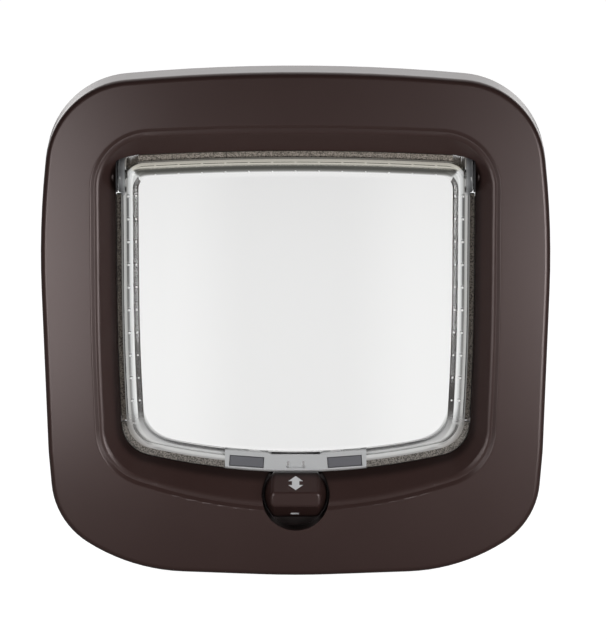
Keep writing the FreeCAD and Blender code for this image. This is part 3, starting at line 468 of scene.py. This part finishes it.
def shade_reveal(material):
    """Darken the last millimetres of the reveal beside and below the flap, where the frame and
    the brush seal take the light away."""
    tree = material.node_tree
    shader = tree.nodes["Principled BSDF"]
    colour = shader.inputs["Base Color"].links[0].from_socket
    _, y, _ = place_in_mm(tree)
    edge = node(tree, "ShaderNodeGroup", node_tree=pane_edge)
    amount = product(tree, smooth_step(tree, y, -12.8, -10.2), step_down(tree, y, -6.5, -4.0),
                     step_down(tree, edge.outputs["Distance"], 13.0, 17.0),
                     step_down(tree, edge.outputs["Top"], -3.0, 1.0))
    gain = calculate(tree, "MULTIPLY_ADD", amount, -REVEAL_SHADE, 1.0)
    tree.links.new(scaled(tree, colour, gain), shader.inputs["Base Color"])


shade_reveal(brown_satin)
print("nodes in", brown_satin.name, len(brown_satin.node_tree.nodes))

# %% [markdown]
# ## Tints of the clear plastic
# Each list of stops gives a place and a colour: millimetres outside the pane for the sides, the
# top and the foot, and millimetres across the flap for the ears. The steps of tint stand where
# the moulding has its bevel, rib and channel, and their dark bands are painted shade. Small
# bridges, the ties, cross the channel at an even pitch and stay pale, while the channel between
# them is darkened by painted shade, more so higher up.

# %% Tints by place


def ramp(tree, value, low, high, stops):
    """A colour ramp over a range of millimetres, from stops of place and colour."""
    share = node(tree, "ShaderNodeMapRange", inputs={"From Min": low, "From Max": high})
    tree.links.new(value, share.inputs["Value"])
    made = node(tree, "ShaderNodeValToRGB")
    band = made.color_ramp
    while len(band.elements) < len(stops):
        band.elements.new(0.5)
    for element, (spot, colour) in zip(band.elements, stops):
        element.position = (spot - low) / (high - low)
        element.color = (*colour, 1)
    tree.links.new(share.outputs["Result"], made.inputs["Fac"])
    return made.outputs["Color"]


def blend_colours(tree, factor, first, second):
    """The first colour where the factor is nothing, the second where it is one."""
    made = node(tree, "ShaderNodeMix", data_type="RGBA")
    tree.links.new(factor, made.inputs["Factor"])
    tree.links.new(first, made.inputs[6])
    tree.links.new(second, made.inputs[7])
    return made.outputs[2]


PANE_TINT = (0.862, 0.862, 0.858)
# The middle of the pane is painted a little darker: a painted shade.
PANE_CENTRE_SHADE = (0.80, 0.80, 0.797)
SIDE_STOPS = [(-0.3, PANE_TINT), (0.0, (0.84, 0.84, 0.83)), (0.9, (0.70, 0.71, 0.70)),
              (2.2, (0.62, 0.63, 0.62)), (2.9, (0.82, 0.83, 0.82)), (4.4, (0.56, 0.57, 0.57)),
              (5.2, (0.32, 0.32, 0.31)), (6.3, (0.46, 0.46, 0.45))]
TOP_STOPS = [(-0.3, PANE_TINT), (0.6, PANE_TINT), (1.1, (0.46, 0.46, 0.45)),
             (1.6, (0.21, 0.21, 0.20)), (2.2, (0.12, 0.12, 0.11)), (2.7, (0.10, 0.10, 0.09)),
             (3.1, (0.045, 0.045, 0.04)), (3.4, (0.05, 0.05, 0.045)),
             (3.75, (0.22, 0.21, 0.19)), (4.15, (0.62, 0.60, 0.53)), (5.2, (0.50, 0.48, 0.42)),
             (7.0, (0.38, 0.36, 0.32))]
FOOT_STOPS = [(-0.3, PANE_TINT), (0.1, (0.50, 0.50, 0.50)), (0.8, (0.34, 0.34, 0.34)),
              (1.3, (0.48, 0.48, 0.48)), (1.9, (0.64, 0.64, 0.64)), (3.4, (0.76, 0.76, 0.75)),
              (5.5, (0.60, 0.59, 0.58)), (7.2, (0.36, 0.34, 0.32))]
# The ears' dark tint is painted shade: they sit in the shade of their pockets.
EAR_SHADE_STOPS = [(78.8, (0.44, 0.445, 0.45)), (79.8, (0.27, 0.275, 0.28)),
             (81.2, (0.14, 0.143, 0.147)), (82.2, (0.19, 0.193, 0.197))]
TIE_FIRST = 59.1
TIE_PITCH = 10.85
TIE_SHARE = 0.05
TIE_SHARE_SOFT = 0.2
CHANNEL_SHADE = 0.72


def channel_gain(tree, edge):
    """How bright the channel beside the pane is, as painted shade: dark between the ties, more so
    higher up.
    """
    away, up = edge.outputs["Distance"], edge.outputs["Up"]
    along = calculate(tree, "DIVIDE", calculate(tree, "SUBTRACT", TIE_FIRST, up), TIE_PITCH)
    phase = calculate(tree, "FRACT", calculate(tree, "ADD", along, 20.5))
    off_tie = calculate(tree, "ABSOLUTE", calculate(tree, "SUBTRACT", phase, 0.5))
    between = smooth_step(tree, off_tie, TIE_SHARE * (1 - TIE_SHARE_SOFT),
                          TIE_SHARE * (1 + TIE_SHARE_SOFT))
    channel = product(tree, smooth_step(tree, away, 4.2, 4.7), step_down(tree, away, 5.3, 5.8))
    beside = step_down(tree, edge.outputs["Top"], -2.0, 0.0)
    tall = calculate(tree, "MULTIPLY_ADD", smooth_step(tree, up, -45.0, 40.0), 0.55, 0.35)
    below_ear = smooth_step(tree, calculate(tree, "SUBTRACT", TIE_FIRST + 1.0, up), 0.0, 1.0)
    # Painted shade: the channel is darkened between the ties.
    dark = product(tree, channel, between, beside, tall, below_ear)
    return calculate(tree, "MULTIPLY_ADD", dark, -CHANNEL_SHADE, 1.0)


print("ties: every %.2f mm" % TIE_PITCH)

# %% [markdown]
# ## The clear material
# The tint goes to two shaders. One is plain clear plastic. The other is the same plastic gone
# milky, as it is where the moulding is rough or thick: along the foot, in the ears and at the
# outer edge. A mask that changes over the flap mixes them, so that each keeps a plain
# Transmission Weight, which other programs can read.

# %% Clear plastic
CLEAR_ROUGHNESS = 0.03
CLEAR_IOR = 1.49
MILKY_FOOT = 0.85
MILKY_EARS = 0.7
MILKY_RIM = 0.5


def clear_plastic(name):
    """Clear plastic whose tint deepens from the pane to the border and the ears, and which turns
    milky along its foot and in its ears."""
    material = bpy.data.materials.new(name)
    material.use_nodes = True
    tree = material.node_tree
    edge = node(tree, "ShaderNodeGroup", node_tree=pane_edge)
    away, across, up = (edge.outputs[word] for word in ("Distance", "Across", "Up"))
    sides, top, foot = (ramp(tree, away, -2.0, 10.0, stops)
                        for stops in (SIDE_STOPS, TOP_STOPS, FOOT_STOPS))
    tint = blend_colours(tree, smooth_step(tree, edge.outputs["Top"], 0.0, 1.6), sides, top)
    low = smooth_step(tree, calculate(tree, "SUBTRACT", -42.0, up), 0.0, 14.0)
    tint = blend_colours(tree, low, tint, foot)
    # Painted shade: the pane is darker in its middle.
    centre = node(tree, "ShaderNodeRGB")
    centre.outputs[0].default_value = (*PANE_CENTRE_SHADE, 1)
    middle = product(tree, step_down(tree, across, 20.0, 58.0), step_down(tree, away, -2.5, -0.5))
    tint = blend_colours(tree, middle, tint, centre.outputs[0])
    tint = scaled(tree, tint, channel_gain(tree, edge))
    # Painted shade over the ears.
    ear = product(tree, smooth_step(tree, across, 78.8, 79.4), smooth_step(tree, up, 59.0, 60.5))
    tint = blend_colours(tree, ear, tint, ramp(tree, across, 78.0, 83.0, EAR_SHADE_STOPS))
    milky_foot = product(tree, low, smooth_step(tree, away, 0.7, 1.7), MILKY_FOOT)
    milky_rim = product(tree, smooth_step(tree, away, 6.9, 7.5), MILKY_RIM)
    cloudy = calculate(tree, "MAXIMUM", milky_foot, product(tree, ear, MILKY_EARS))
    cloudy = calculate(tree, "MAXIMUM", cloudy, milky_rim)
    clear_half = tree.nodes["Principled BSDF"]
    clear_half.inputs["Transmission Weight"].default_value = 1.0
    milky_half = node(tree, "ShaderNodeBsdfPrincipled")
    both = node(tree, "ShaderNodeMixShader")
    tree.links.new(cloudy, both.inputs["Fac"])
    for half, socket in ((clear_half, both.inputs[1]), (milky_half, both.inputs[2])):
        half.inputs["Roughness"].default_value = CLEAR_ROUGHNESS
        half.inputs["IOR"].default_value = CLEAR_IOR
        tree.links.new(tint, half.inputs["Base Color"])
        tree.links.new(half.outputs["BSDF"], socket)
    tree.links.new(both.outputs[0], tree.nodes["Material Output"].inputs["Surface"])
    return material


clear = clear_plastic("clear_plastic")
paint(["flap_panel"], clear)
print("nodes in", clear.name, len(clear.node_tree.nodes))

# %% [markdown]
# ## Steel and magnets
# The pins, the click wire and the screws are plated steel. The magnets are sintered and have a
# dull dark coat.

# %% Metals


def metal(name, colour, roughness, metallic=1.0):
    """Metal with fine streaks in its roughness."""
    material = bpy.data.materials.new(name)
    material.use_nodes = True
    tree = material.node_tree
    shader = tree.nodes["Principled BSDF"]
    shader.inputs["Metallic"].default_value = metallic
    place = node(tree, "ShaderNodeTexCoord")
    streaks = node(tree, "ShaderNodeTexNoise", inputs={"Scale": 900.0, "Detail": 2.0})
    tree.links.new(place.outputs["Object"], streaks.inputs["Vector"])
    spread = node(tree, "ShaderNodeMapRange",
                  inputs={"To Min": roughness * 0.8, "To Max": roughness * 1.2})
    tree.links.new(streaks.outputs["Fac"], spread.inputs["Value"])
    tree.links.new(spread.outputs["Result"], shader.inputs["Roughness"])
    shader.inputs["Base Color"].default_value = (*colour, 1)
    return material


plated_steel = metal("plated_steel", (0.60, 0.60, 0.62), 0.3)
paint(["hinge_pin_left", "hinge_pin_right", "detent_spring", "liner_screws", "cam_screw"],
      plated_steel)
magnet_coat = metal("magnet_coat", (0.15, 0.15, 0.165), 0.45, 0.6)
paint(["flap_magnet_left", "flap_magnet_right", "sill_magnet_left", "sill_magnet_right"],
      magnet_coat)
print("metals:", plated_steel.name, magnet_coat.name)

# %% [markdown]
# ## Brush seals
# A pile strip is a woven tape with short dense fibres that stand out of the flap's edge and
# brush the frame. The tape's core copies the solid that stands in for the strip, and each fibre
# is a thin cone. Rays from inside find the strip's outer face, and the fibres are set along it
# with a little disorder, so the tips make a soft uneven line. Thousands of cones by operators
# would take minutes, so this piece is built face by face in a bmesh instead.

# %% Path of a strip's outer face
RAYS = 1500
RAY_START = 0.6
FACES_OUT = 0.5


def merged_copy(name):
    """A copy of a ready-made piece with its loose triangles joined, as a bmesh."""
    shape = bmesh.new()
    shape.from_mesh(nodes[name].data)
    bmesh.ops.remove_doubles(shape, verts=shape.verts, dist=1e-6)
    return shape


def outer_path(name, eye):
    """Points and outward directions along a strip's outer face, as seen from a point inside."""
    shape = merged_copy(name)
    tree = BVHTree.FromBMesh(shape)
    low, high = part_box(name)
    middle = (low[1] + high[1]) / 2
    centre = Vector((eye[0] * MM, middle, eye[1] * MM))
    path = []
    for k in range(RAYS):
        angle = 2 * math.pi * k / RAYS
        outward = Vector((math.cos(angle), 0, math.sin(angle)))
        hit, normal, index, distance = tree.ray_cast(centre + outward * RAY_START, -outward)
        if hit is not None and normal.dot(outward) > FACES_OUT and (hit - centre).dot(outward) > 0:
            path.append((hit, normal))
    shape.free()
    gaps = [(path[i][0] - path[i - 1][0]).length for i in range(len(path))]
    start = gaps.index(max(gaps))
    return path[start:] + path[:start]


print("points on the top strip:", len(outer_path("pile_strip_top", (0, -100))))

# %% Fibres along the path
FIBRE_PITCH = 0.34 * MM
FIBRE_ROWS = 8
FIBRE_ROOT = 0.24 * MM
FIBRE_STAND = (0.20 * MM, 0.42 * MM)
FIBRE_DEEP = 0.9 * MM


def walk(path, pitch):
    """Points at an even pitch along a path."""
    travelled = 0.0
    for (a, normal_a), (b, normal_b) in zip(path, path[1:]):
        length = (b - a).length
        while travelled < length:
            share = travelled / length
            yield a.lerp(b, share), normal_a.lerp(normal_b, share).normalized()
            travelled += pitch
        travelled -= length


def add_fibre(shape, root, tip, radius):
    """A three-sided spike from its root to its tip."""
    along = (tip - root).normalized()
    across = along.orthogonal().normalized()
    beside = along.cross(across)
    ring = []
    for k in range(3):
        angle = 2 * math.pi * k / 3
        ring.append(shape.verts.new(root + (across * math.cos(angle)
                                            + beside * math.sin(angle)) * radius))
    point = shape.verts.new(tip)
    for k in range(3):
        shape.faces.new((ring[k], ring[(k + 1) % 3], point))
    shape.faces.new(ring[::-1])


def object_from(shape, name):
    """Turn a bmesh into an object at the origin, and free the bmesh."""
    mesh = bpy.data.meshes.new(name)
    shape.to_mesh(mesh)
    shape.free()
    made = bpy.data.objects.new(name, mesh)
    bpy.context.scene.collection.objects.link(made)
    return made


print("fibres: %d rows, every %.2f mm" % (FIBRE_ROWS, FIBRE_PITCH / MM))

# %% Fibres over the corners
CORNER_FROM = 73.1
CORNER_TO = 78.6
CORNER_START = 66.0
SHORTEST_FIBRE = 0.5


def add_corner_fibres(shape, rng, low, high):
    """Fibres that carry the top strip on over both rounded corners of the flap, from the flap's
    edge to the frame above it."""
    trees = []
    for name in ("front_frame", "flap_panel"):
        copy = merged_copy(name)
        trees.append(BVHTree.FromBMesh(copy))
        copy.free()
    wall, panel = trees
    steps = round((CORNER_TO - CORNER_FROM) * MM / FIBRE_PITCH)
    for side in (-1, 1):
        for k in range(steps + 1):
            x = side * (CORNER_FROM + (CORNER_TO - CORNER_FROM) * k / steps) * MM
            for row in range(FIBRE_ROWS):
                y = low[1] + (row + rng.uniform(0.2, 0.8)) * (high[1] - low[1]) / FIBRE_ROWS
                start = Vector((x, y, CORNER_START * MM))
                roof = wall.ray_cast(start, Vector((0, 0, 1)))[0]
                if roof is None:
                    continue
                edge = panel.ray_cast(Vector((x, y, roof.z)), Vector((0, 0, -1)))[0]
                if edge is None:
                    continue
                tip = Vector((x + rng.uniform(-0.15, 0.15) * MM, y,
                              roof.z - rng.uniform(0.03, 0.14) * MM))
                if tip.z - edge.z > SHORTEST_FIBRE * MM:
                    add_fibre(shape, Vector((x, y, edge.z - 0.1 * MM)), tip, FIBRE_ROOT)


print("corner fibres: %.1f to %.1f mm across" % (CORNER_FROM, CORNER_TO))

# %% The five strips
STRIP_EYES = {
    "pile_strip_top": (0, -100),
    "pile_strip_left": (150, 5),
    "pile_strip_right": (-150, 5),
    "pile_strip_bottom_left": (-20, 10),
    "pile_strip_bottom_right": (20, 10),
}


def brush_strip(name, eye, seed):
    """A pile strip: the woven core and the fibres that stand out of it."""
    rng = random.Random(seed)
    low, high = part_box(name)
    shape = merged_copy(name)
    for spot, outward in walk(outer_path(name, eye), FIBRE_PITCH):
        sideways = outward.cross(Vector((0, 1, 0)))
        for row in range(FIBRE_ROWS):
            y = low[1] + (row + 0.5 + rng.uniform(-0.4, 0.4)) * (high[1] - low[1]) / FIBRE_ROWS
            spread = (y - (low[1] + high[1]) / 2) / (high[1] - low[1])
            root = Vector((spot.x, y, spot.z)) - outward * FIBRE_DEEP
            root += sideways * rng.uniform(-0.5, 0.5) * FIBRE_PITCH
            lean = Vector((0, spread * 0.5, 0)) + sideways * rng.uniform(-0.25, 0.25)
            reach = FIBRE_DEEP + rng.uniform(*FIBRE_STAND)
            add_fibre(shape, root, root + (outward + lean).normalized() * reach, FIBRE_ROOT)
    if name == "pile_strip_top":
        add_corner_fibres(shape, rng, low, high)
    brush = object_from(shape, name + "_brush")
    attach(brush, "flap")
    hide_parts(name)
    print(name, "triangles:", sum(len(face.vertices) - 2 for face in brush.data.polygons))
    return brush


brushes = [brush_strip(name, eye, seed)
           for seed, (name, eye) in enumerate(STRIP_EYES.items())]

# %% [markdown]
# ## Film fins
# Many such seals carry a thin film in the middle of the pile. It stands a little proud of the
# fibres and stops the draught. Its near black is painted shade: it fills the gap between the pile
# and the frame with darkness. It follows the same path as the fibres, ring by ring.

# %% Fins
FIN_HALF = 0.05 * MM
FIN_LOW = -0.3 * MM
FIN_HIGH = 0.42 * MM
FIN_PITCH = 1.0 * MM


def fins():
    """The film of all five strips in one object."""
    shape = bmesh.new()
    for name, eye in STRIP_EYES.items():
        low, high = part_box(name)
        middle = (low[1] + high[1]) / 2
        last = None
        for spot, outward in walk(outer_path(name, eye), FIN_PITCH):
            base = Vector((spot.x, middle, spot.z))
            ring = [shape.verts.new(base + outward * away + Vector((0, y, 0)))
                    for away, y in ((FIN_LOW, -FIN_HALF), (FIN_HIGH, -FIN_HALF),
                                    (FIN_HIGH, FIN_HALF), (FIN_LOW, FIN_HALF))]
            if last is None:
                shape.faces.new(ring)
            else:
                for k in range(4):
                    shape.faces.new((last[k], last[(k + 1) % 4], ring[(k + 1) % 4], ring[k]))
            last = ring
        shape.faces.new(last[::-1])
    bmesh.ops.recalc_face_normals(shape, faces=shape.faces)
    made = object_from(shape, "pile_fins")
    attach(made, "flap")
    return made


pile_fins = fins()
print("faces of the fins:", len(pile_fins.data.polygons))

# %% [markdown]
# ## Colour of the pile
# Each fibre is its own shade between dark brown and beige. A very fine noise on the object's own
# place speckles them without any picture. The zones are one pile under painted light and shade:
# the strips at the sides are painted darker for the shade of the frame, those at the top and the
# foot are painted paler, and the foot is painted darker away from the flap.

# %% Pile material
# Painted light and shade: the same pile, darker at the sides and paler at the top and foot.
PILE_SIDES_PAINTED_SHADE = ((0.008, 0.006, 0.005), (0.11, 0.095, 0.08))
PILE_TOP_PAINTED_LIGHT = ((0.08, 0.07, 0.058), (0.38, 0.335, 0.29))
PILE_FOOT_PAINTED_LIGHT = ((0.055, 0.05, 0.045), (0.26, 0.238, 0.215))
PILE_FOOT_SHADE = 0.45
# The film's near black is painted shade in the gap between the pile and the frame.
FILM_SHADE_BLACK = (0.004, 0.0035, 0.0035)


def speckles(tree, value, shades):
    """A dark and a pale shade, parted by a noise."""
    made = node(tree, "ShaderNodeValToRGB")
    for element, spot, colour in zip(made.color_ramp.elements, (0.36, 0.64), shades):
        element.position = spot
        element.color = (*colour, 1)
    tree.links.new(value, made.inputs["Fac"])
    return made.outputs["Color"]


def pile_material():
    """Matt pile in three zones of painted light and shade: sides, top and foot."""
    material = bpy.data.materials.new("brown_pile")
    material.use_nodes = True
    tree = material.node_tree
    shader = tree.nodes["Principled BSDF"]
    shader.inputs["Roughness"].default_value = 0.85
    shader.inputs["Specular IOR Level"].default_value = 0.2
    shader.inputs["Sheen Weight"].default_value = 0.2
    place = node(tree, "ShaderNodeTexCoord")
    speckle = node(tree, "ShaderNodeTexNoise", inputs={"Scale": 1700.0, "Detail": 2.0})
    tree.links.new(place.outputs["Object"], speckle.inputs["Vector"])
    fac = speckle.outputs["Fac"]
    edge = node(tree, "ShaderNodeGroup", node_tree=pane_edge)
    away, across, up = (edge.outputs[word] for word in ("Distance", "Across", "Up"))
    # Painted light and shade: the top is paler and the sides darker.
    high = product(tree, smooth_step(tree, up, 61.0, 67.0), step_down(tree, across, 79.0, 80.0))
    tint = blend_colours(tree, high, speckles(tree, fac, PILE_SIDES_PAINTED_SHADE),
                         speckles(tree, fac, PILE_TOP_PAINTED_LIGHT))
    low = smooth_step(tree, calculate(tree, "SUBTRACT", -44.0, up), 0.0, 10.0)
    tint = blend_colours(tree, low, tint, speckles(tree, fac, PILE_FOOT_PAINTED_LIGHT))
    # Painted shade: the foot darkens away from the flap.
    foot_painted_shade = product(tree, low, smooth_step(tree, away, 8.0, 11.5))
    gain = calculate(tree, "MULTIPLY_ADD", foot_painted_shade, -PILE_FOOT_SHADE, 1.0)
    tree.links.new(scaled(tree, tint, gain), shader.inputs["Base Color"])
    return material


brown_pile = pile_material()
for brush in brushes:
    brush.data.materials.append(brown_pile)
# Painted shade: the film is near black.
pile_fins.data.materials.append(moulded_plastic("film_painted_shade", FILM_SHADE_BLACK, 0.6, grain=0.03))
print("pile nodes:", len(brown_pile.node_tree.nodes))

# %% [markdown]
# ## Shade rings beside the ears
# A thin dark ring, grey like felt, fills the play between each ear and the frame, round the
# hinge pin, and closes the last gap beside the ear: it is painted shade, the dark of the ears'
# pockets. A ring is a section spun round an axis, as on a lathe: a plane is drawn out to the
# section's size, its corners are cut, its face is deleted, and the outline that stays is spun
# round the pin. Each spoke of the ring is then made a little longer or shorter, so that it is
# not quite round.

# %% Shade rings
PIN_PLACE = (-6.8, 69.0)
SHADE_RING_INNER = 1.6
SHADE_RING_OUTER = 8.3
SHADE_RING_SPAN = 0.72
SHADE_RING_GAP = 0.02
SHADE_RING_CUT = 0.18
SHADE_RING_SIDES = 48
SHADE_RING_WOBBLE = 0.05
WALL_START = (80.0, 5.5)
# The rings' dark grey is painted shade, the dark of the ears' pockets.
SHADE_RING_GREY = (0.045, 0.045, 0.047)


def frame_wall(side):
    """How far out the frame's wall stands beside an ear, found by a ray from inside the ear."""
    copy = merged_copy("front_frame")
    wall = BVHTree.FromBMesh(copy)
    copy.free()
    start = Vector((side * WALL_START[0], PIN_PLACE[0], PIN_PLACE[1] + WALL_START[1])) * MM
    return abs(wall.ray_cast(start, Vector((side, 0, 0)))[0].x) / MM


def shade_ring(side):
    """One dark ring of painted shade against the frame's wall, spun round the pin from its section.
    """
    wall = frame_wall(side)
    print("wall beside the ear: %.2f" % wall)
    middle = side * (wall - SHADE_RING_GAP - SHADE_RING_SPAN / 2)
    height = SHADE_RING_OUTER - SHADE_RING_INNER
    pin = Vector((0, PIN_PLACE[0], PIN_PLACE[1])) * MM
    bpy.ops.mesh.primitive_plane_add(
        size=MM, location=pin + Vector((middle, 0, SHADE_RING_INNER + height / 2)) * MM,
        rotation=(math.pi / 2, 0, 0))
    bpy.ops.transform.resize(value=(SHADE_RING_SPAN, 1, height))
    bpy.ops.object.transform_apply(location=True, rotation=True, scale=True)
    bpy.ops.object.mode_set(mode="EDIT")
    bpy.ops.mesh.select_all(action="SELECT")
    bpy.ops.mesh.bevel(affect="VERTICES", offset=SHADE_RING_CUT * MM, segments=1)
    bpy.ops.mesh.select_all(action="SELECT")
    bpy.ops.mesh.delete(type="ONLY_FACE")
    bpy.ops.mesh.select_all(action="SELECT")
    bpy.ops.mesh.spin(steps=SHADE_RING_SIDES, angle=2 * math.pi, center=pin, axis=(1, 0, 0))
    bpy.ops.mesh.select_all(action="SELECT")
    bpy.ops.mesh.remove_doubles(threshold=0.001 * MM)
    bpy.ops.mesh.normals_make_consistent(inside=False)
    bpy.ops.object.mode_set(mode="OBJECT")
    bpy.ops.object.shade_smooth()
    return bpy.context.object


def make_uneven(ring, rng):
    """Move each spoke of a ring in or out by its own small random amount."""
    wobble = [rng.uniform(-SHADE_RING_WOBBLE, SHADE_RING_WOBBLE) for _ in range(SHADE_RING_SIDES)]
    for vert in ring.data.vertices:
        arm = vert.co - Vector((vert.co.x, PIN_PLACE[0] * MM, PIN_PLACE[1] * MM))
        spoke = round(math.atan2(arm.z, arm.y) / (2 * math.pi) * SHADE_RING_SIDES) % SHADE_RING_SIDES
        vert.co += arm.normalized() * wobble[spoke] * MM
    return ring


def join(parts, name):
    """Join objects into one that sits at the origin."""
    bpy.ops.object.select_all(action="DESELECT")
    for part in parts:
        part.select_set(True)
    bpy.context.view_layer.objects.active = parts[0]
    bpy.ops.object.join()
    bpy.ops.object.transform_apply(location=True, rotation=True, scale=True)
    joined = bpy.context.object
    joined.name = joined.data.name = name
    joined.select_set(False)
    return joined


shade_ring_rng = random.Random(7)
shade_rings = join([make_uneven(shade_ring(side), shade_ring_rng) for side in (-1, 1)], "ear_shade_rings")
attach(shade_rings, "frame")
# Painted shade: the rings are dark grey.
shade_rings.data.materials.append(moulded_plastic("shade_ring_grey", SHADE_RING_GREY, 0.95, 0.5,
                                              grain_size=1400.0, grain=0.6, specular=0.1))
print("faces of the washers:", len(shade_rings.data.polygons))

# %% [markdown]
# ## Pips of the moulding
# Where the clear moulding has a small bridge across its channel, and at the same pitch along the
# slope above the pane, an ejector pin left a tiny round pip. Its near white is a painted glint,
# where the pip catches the light. One pip is a ball pressed flat. Copies of it go where a ray from
# the front meets the flap.

# %% Pips
PIP_RADIUS = 0.5
PIP_RISE = 0.6
PIP_ROWS = 10
PIP_COLUMNS = 6
RAY_FRONT = -40.0


def pip_places():
    """Places of the pips, across and up, in millimetres."""
    places = []
    for k in range(PIP_ROWS):
        z = TIE_FIRST - k * TIE_PITCH
        lean = max(HIP_START - z, 0) ** 2 / (2 * HIP_RADIUS)
        for x in (PANE_HALF + 4.7 - lean, PANE_HALF + 1.2 - lean):
            places += [(-x, z), (x, z)]
    for k in range(-PIP_COLUMNS, PIP_COLUMNS + 1):
        x = k * TIE_PITCH
        places.append((x, PANE_TOP - x * x / (2 * CROWN) + 1.0))
    return places


def first_pip():
    """One pip at the origin: a small ball pressed flat from front to back."""
    bpy.ops.mesh.primitive_uv_sphere_add(segments=10, ring_count=6, radius=PIP_RADIUS * MM,
                                         location=(0, 0, 0))
    bpy.ops.transform.resize(value=(1, PIP_RISE, 1))
    bpy.ops.object.transform_apply(location=True, rotation=True, scale=True)
    bpy.ops.object.shade_smooth()
    return bpy.context.object


def set_pips(pattern):
    """A copy of the first pip wherever a ray meets the flap's front."""
    copy = merged_copy("flap_panel")
    surface = BVHTree.FromBMesh(copy)
    copy.free()
    placed = []
    for x, z in pip_places():
        hit = surface.ray_cast(Vector((x, RAY_FRONT, z)) * MM, Vector((0, 1, 0)))[0]
        if hit is None:
            continue
        bpy.ops.object.select_all(action="DESELECT")
        pattern.select_set(True)
        bpy.context.view_layer.objects.active = pattern
        bpy.ops.object.duplicate(linked=False)
        bpy.ops.transform.translate(value=hit)
        placed.append(bpy.context.object)
    bpy.data.objects.remove(pattern)
    return placed


placed_pips = set_pips(first_pip())
print("pips:", len(placed_pips))
pips = join(placed_pips, "flap_pips")
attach(pips, "flap")
# The pips' near white is a painted glint.
PIP_GLINT_WHITE = (0.93, 0.93, 0.92)
pips.data.materials.append(moulded_plastic("pip_painted_glint", PIP_GLINT_WHITE, 0.3, 0.05, grain=0.0,
                                           sheen=WHITE_SHEEN))

# %% [markdown]
# ## Marks on the knob
# The upper slope of the knob carries a double arrow and the lower one a bar, printed in pale
# grey: they show which way the flap is free. Each part of a mark is a plane or a triangle, drawn
# out to its size and extruded by the thickness of the print. The mark is then turned and moved
# onto the slope, which runs from the knob's rim to the ridge of its grip.

# %% Slopes of the knob
UPPER_SLOPE = (Vector((0, -12.6, KNOB_HEIGHT + 10.6)), Vector((0, -21.8, KNOB_HEIGHT + 3.15)))
LOWER_SLOPE = (Vector((0, -21.8, KNOB_HEIGHT - 3.15)), Vector((0, -12.6, KNOB_HEIGHT - 10.6)))
MARK_THICK = 0.12
MARK_LIFT = 0.02


def flat_part(corners, across, along, wide, tall, turn=0.0):
    """A thin plane or triangle; across and along give its middle or the triangle's centre."""
    place = Vector((across, -along, 0)) * MM
    if corners == 3:
        bpy.ops.mesh.primitive_circle_add(vertices=3, radius=MM, fill_type="NGON")
        stretch = (wide / math.sqrt(3), tall / 1.5, 1)
    else:
        bpy.ops.mesh.primitive_plane_add(size=MM)
        stretch = (wide, tall, 1)
    bpy.ops.transform.resize(value=stretch)
    part = bpy.context.object
    part.rotation_euler.z = turn
    part.location = place
    bpy.ops.object.transform_apply(location=True, rotation=True, scale=True)
    bpy.ops.object.mode_set(mode="EDIT")
    bpy.ops.mesh.select_all(action="SELECT")
    bpy.ops.mesh.extrude_region_move(
        TRANSFORM_OT_translate={"value": (0, 0, MARK_THICK * MM)})
    bpy.ops.mesh.select_all(action="SELECT")
    bpy.ops.mesh.normals_make_consistent(inside=False)
    bpy.ops.object.mode_set(mode="OBJECT")
    return part


def lay_on_slope(mark, slope):
    """Turn a flat mark about the axis across the knob and put it on a slope."""
    start, end = slope
    down = (end - start).normalized()
    outward = Vector((0, down.z, -down.y))
    mark.rotation_euler.x = math.atan2(-down.z, -down.y)
    mark.location = (start + outward * MARK_LIFT) * MM
    mark.select_set(True)
    bpy.ops.object.transform_apply(location=True, rotation=True, scale=True)
    mark.select_set(False)
    print(mark.name, "faces:", len(mark.data.polygons))


# %% Arrow and bar
ARROW_HALF = 3.4
ARROW_HEAD = 2.9
ARROW_TOP = 1.9
ARROW_LONG = 8.1
STEM_HALF = 1.7
BAR_ACROSS = (-2.3, 1.5)
BAR_ALONG = (7.5, 8.9)

head_centre = ARROW_HEAD * 2 / 3
arrow = join([
    flat_part(3, 0, ARROW_TOP + head_centre, 2 * ARROW_HALF, ARROW_HEAD),
    flat_part(4, 0, ARROW_TOP + ARROW_LONG / 2, 2 * STEM_HALF, ARROW_LONG - 2 * ARROW_HEAD),
    flat_part(3, 0, ARROW_TOP + ARROW_LONG - head_centre, 2 * ARROW_HALF, ARROW_HEAD, math.pi),
], "knob_arrow")
bar = join([flat_part(4, sum(BAR_ACROSS) / 2, sum(BAR_ALONG) / 2,
                      BAR_ACROSS[1] - BAR_ACROSS[0], BAR_ALONG[1] - BAR_ALONG[0])], "knob_bar")
lay_on_slope(arrow, UPPER_SLOPE)
lay_on_slope(bar, LOWER_SLOPE)
mark_paint = moulded_plastic("mark_paint", (0.60, 0.60, 0.61), 0.5, 0.05, grain=0.03,
                             sheen=WHITE_SHEEN)
for mark in (arrow, bar):
    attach(mark, "lock")
    mark.data.materials.append(mark_paint)
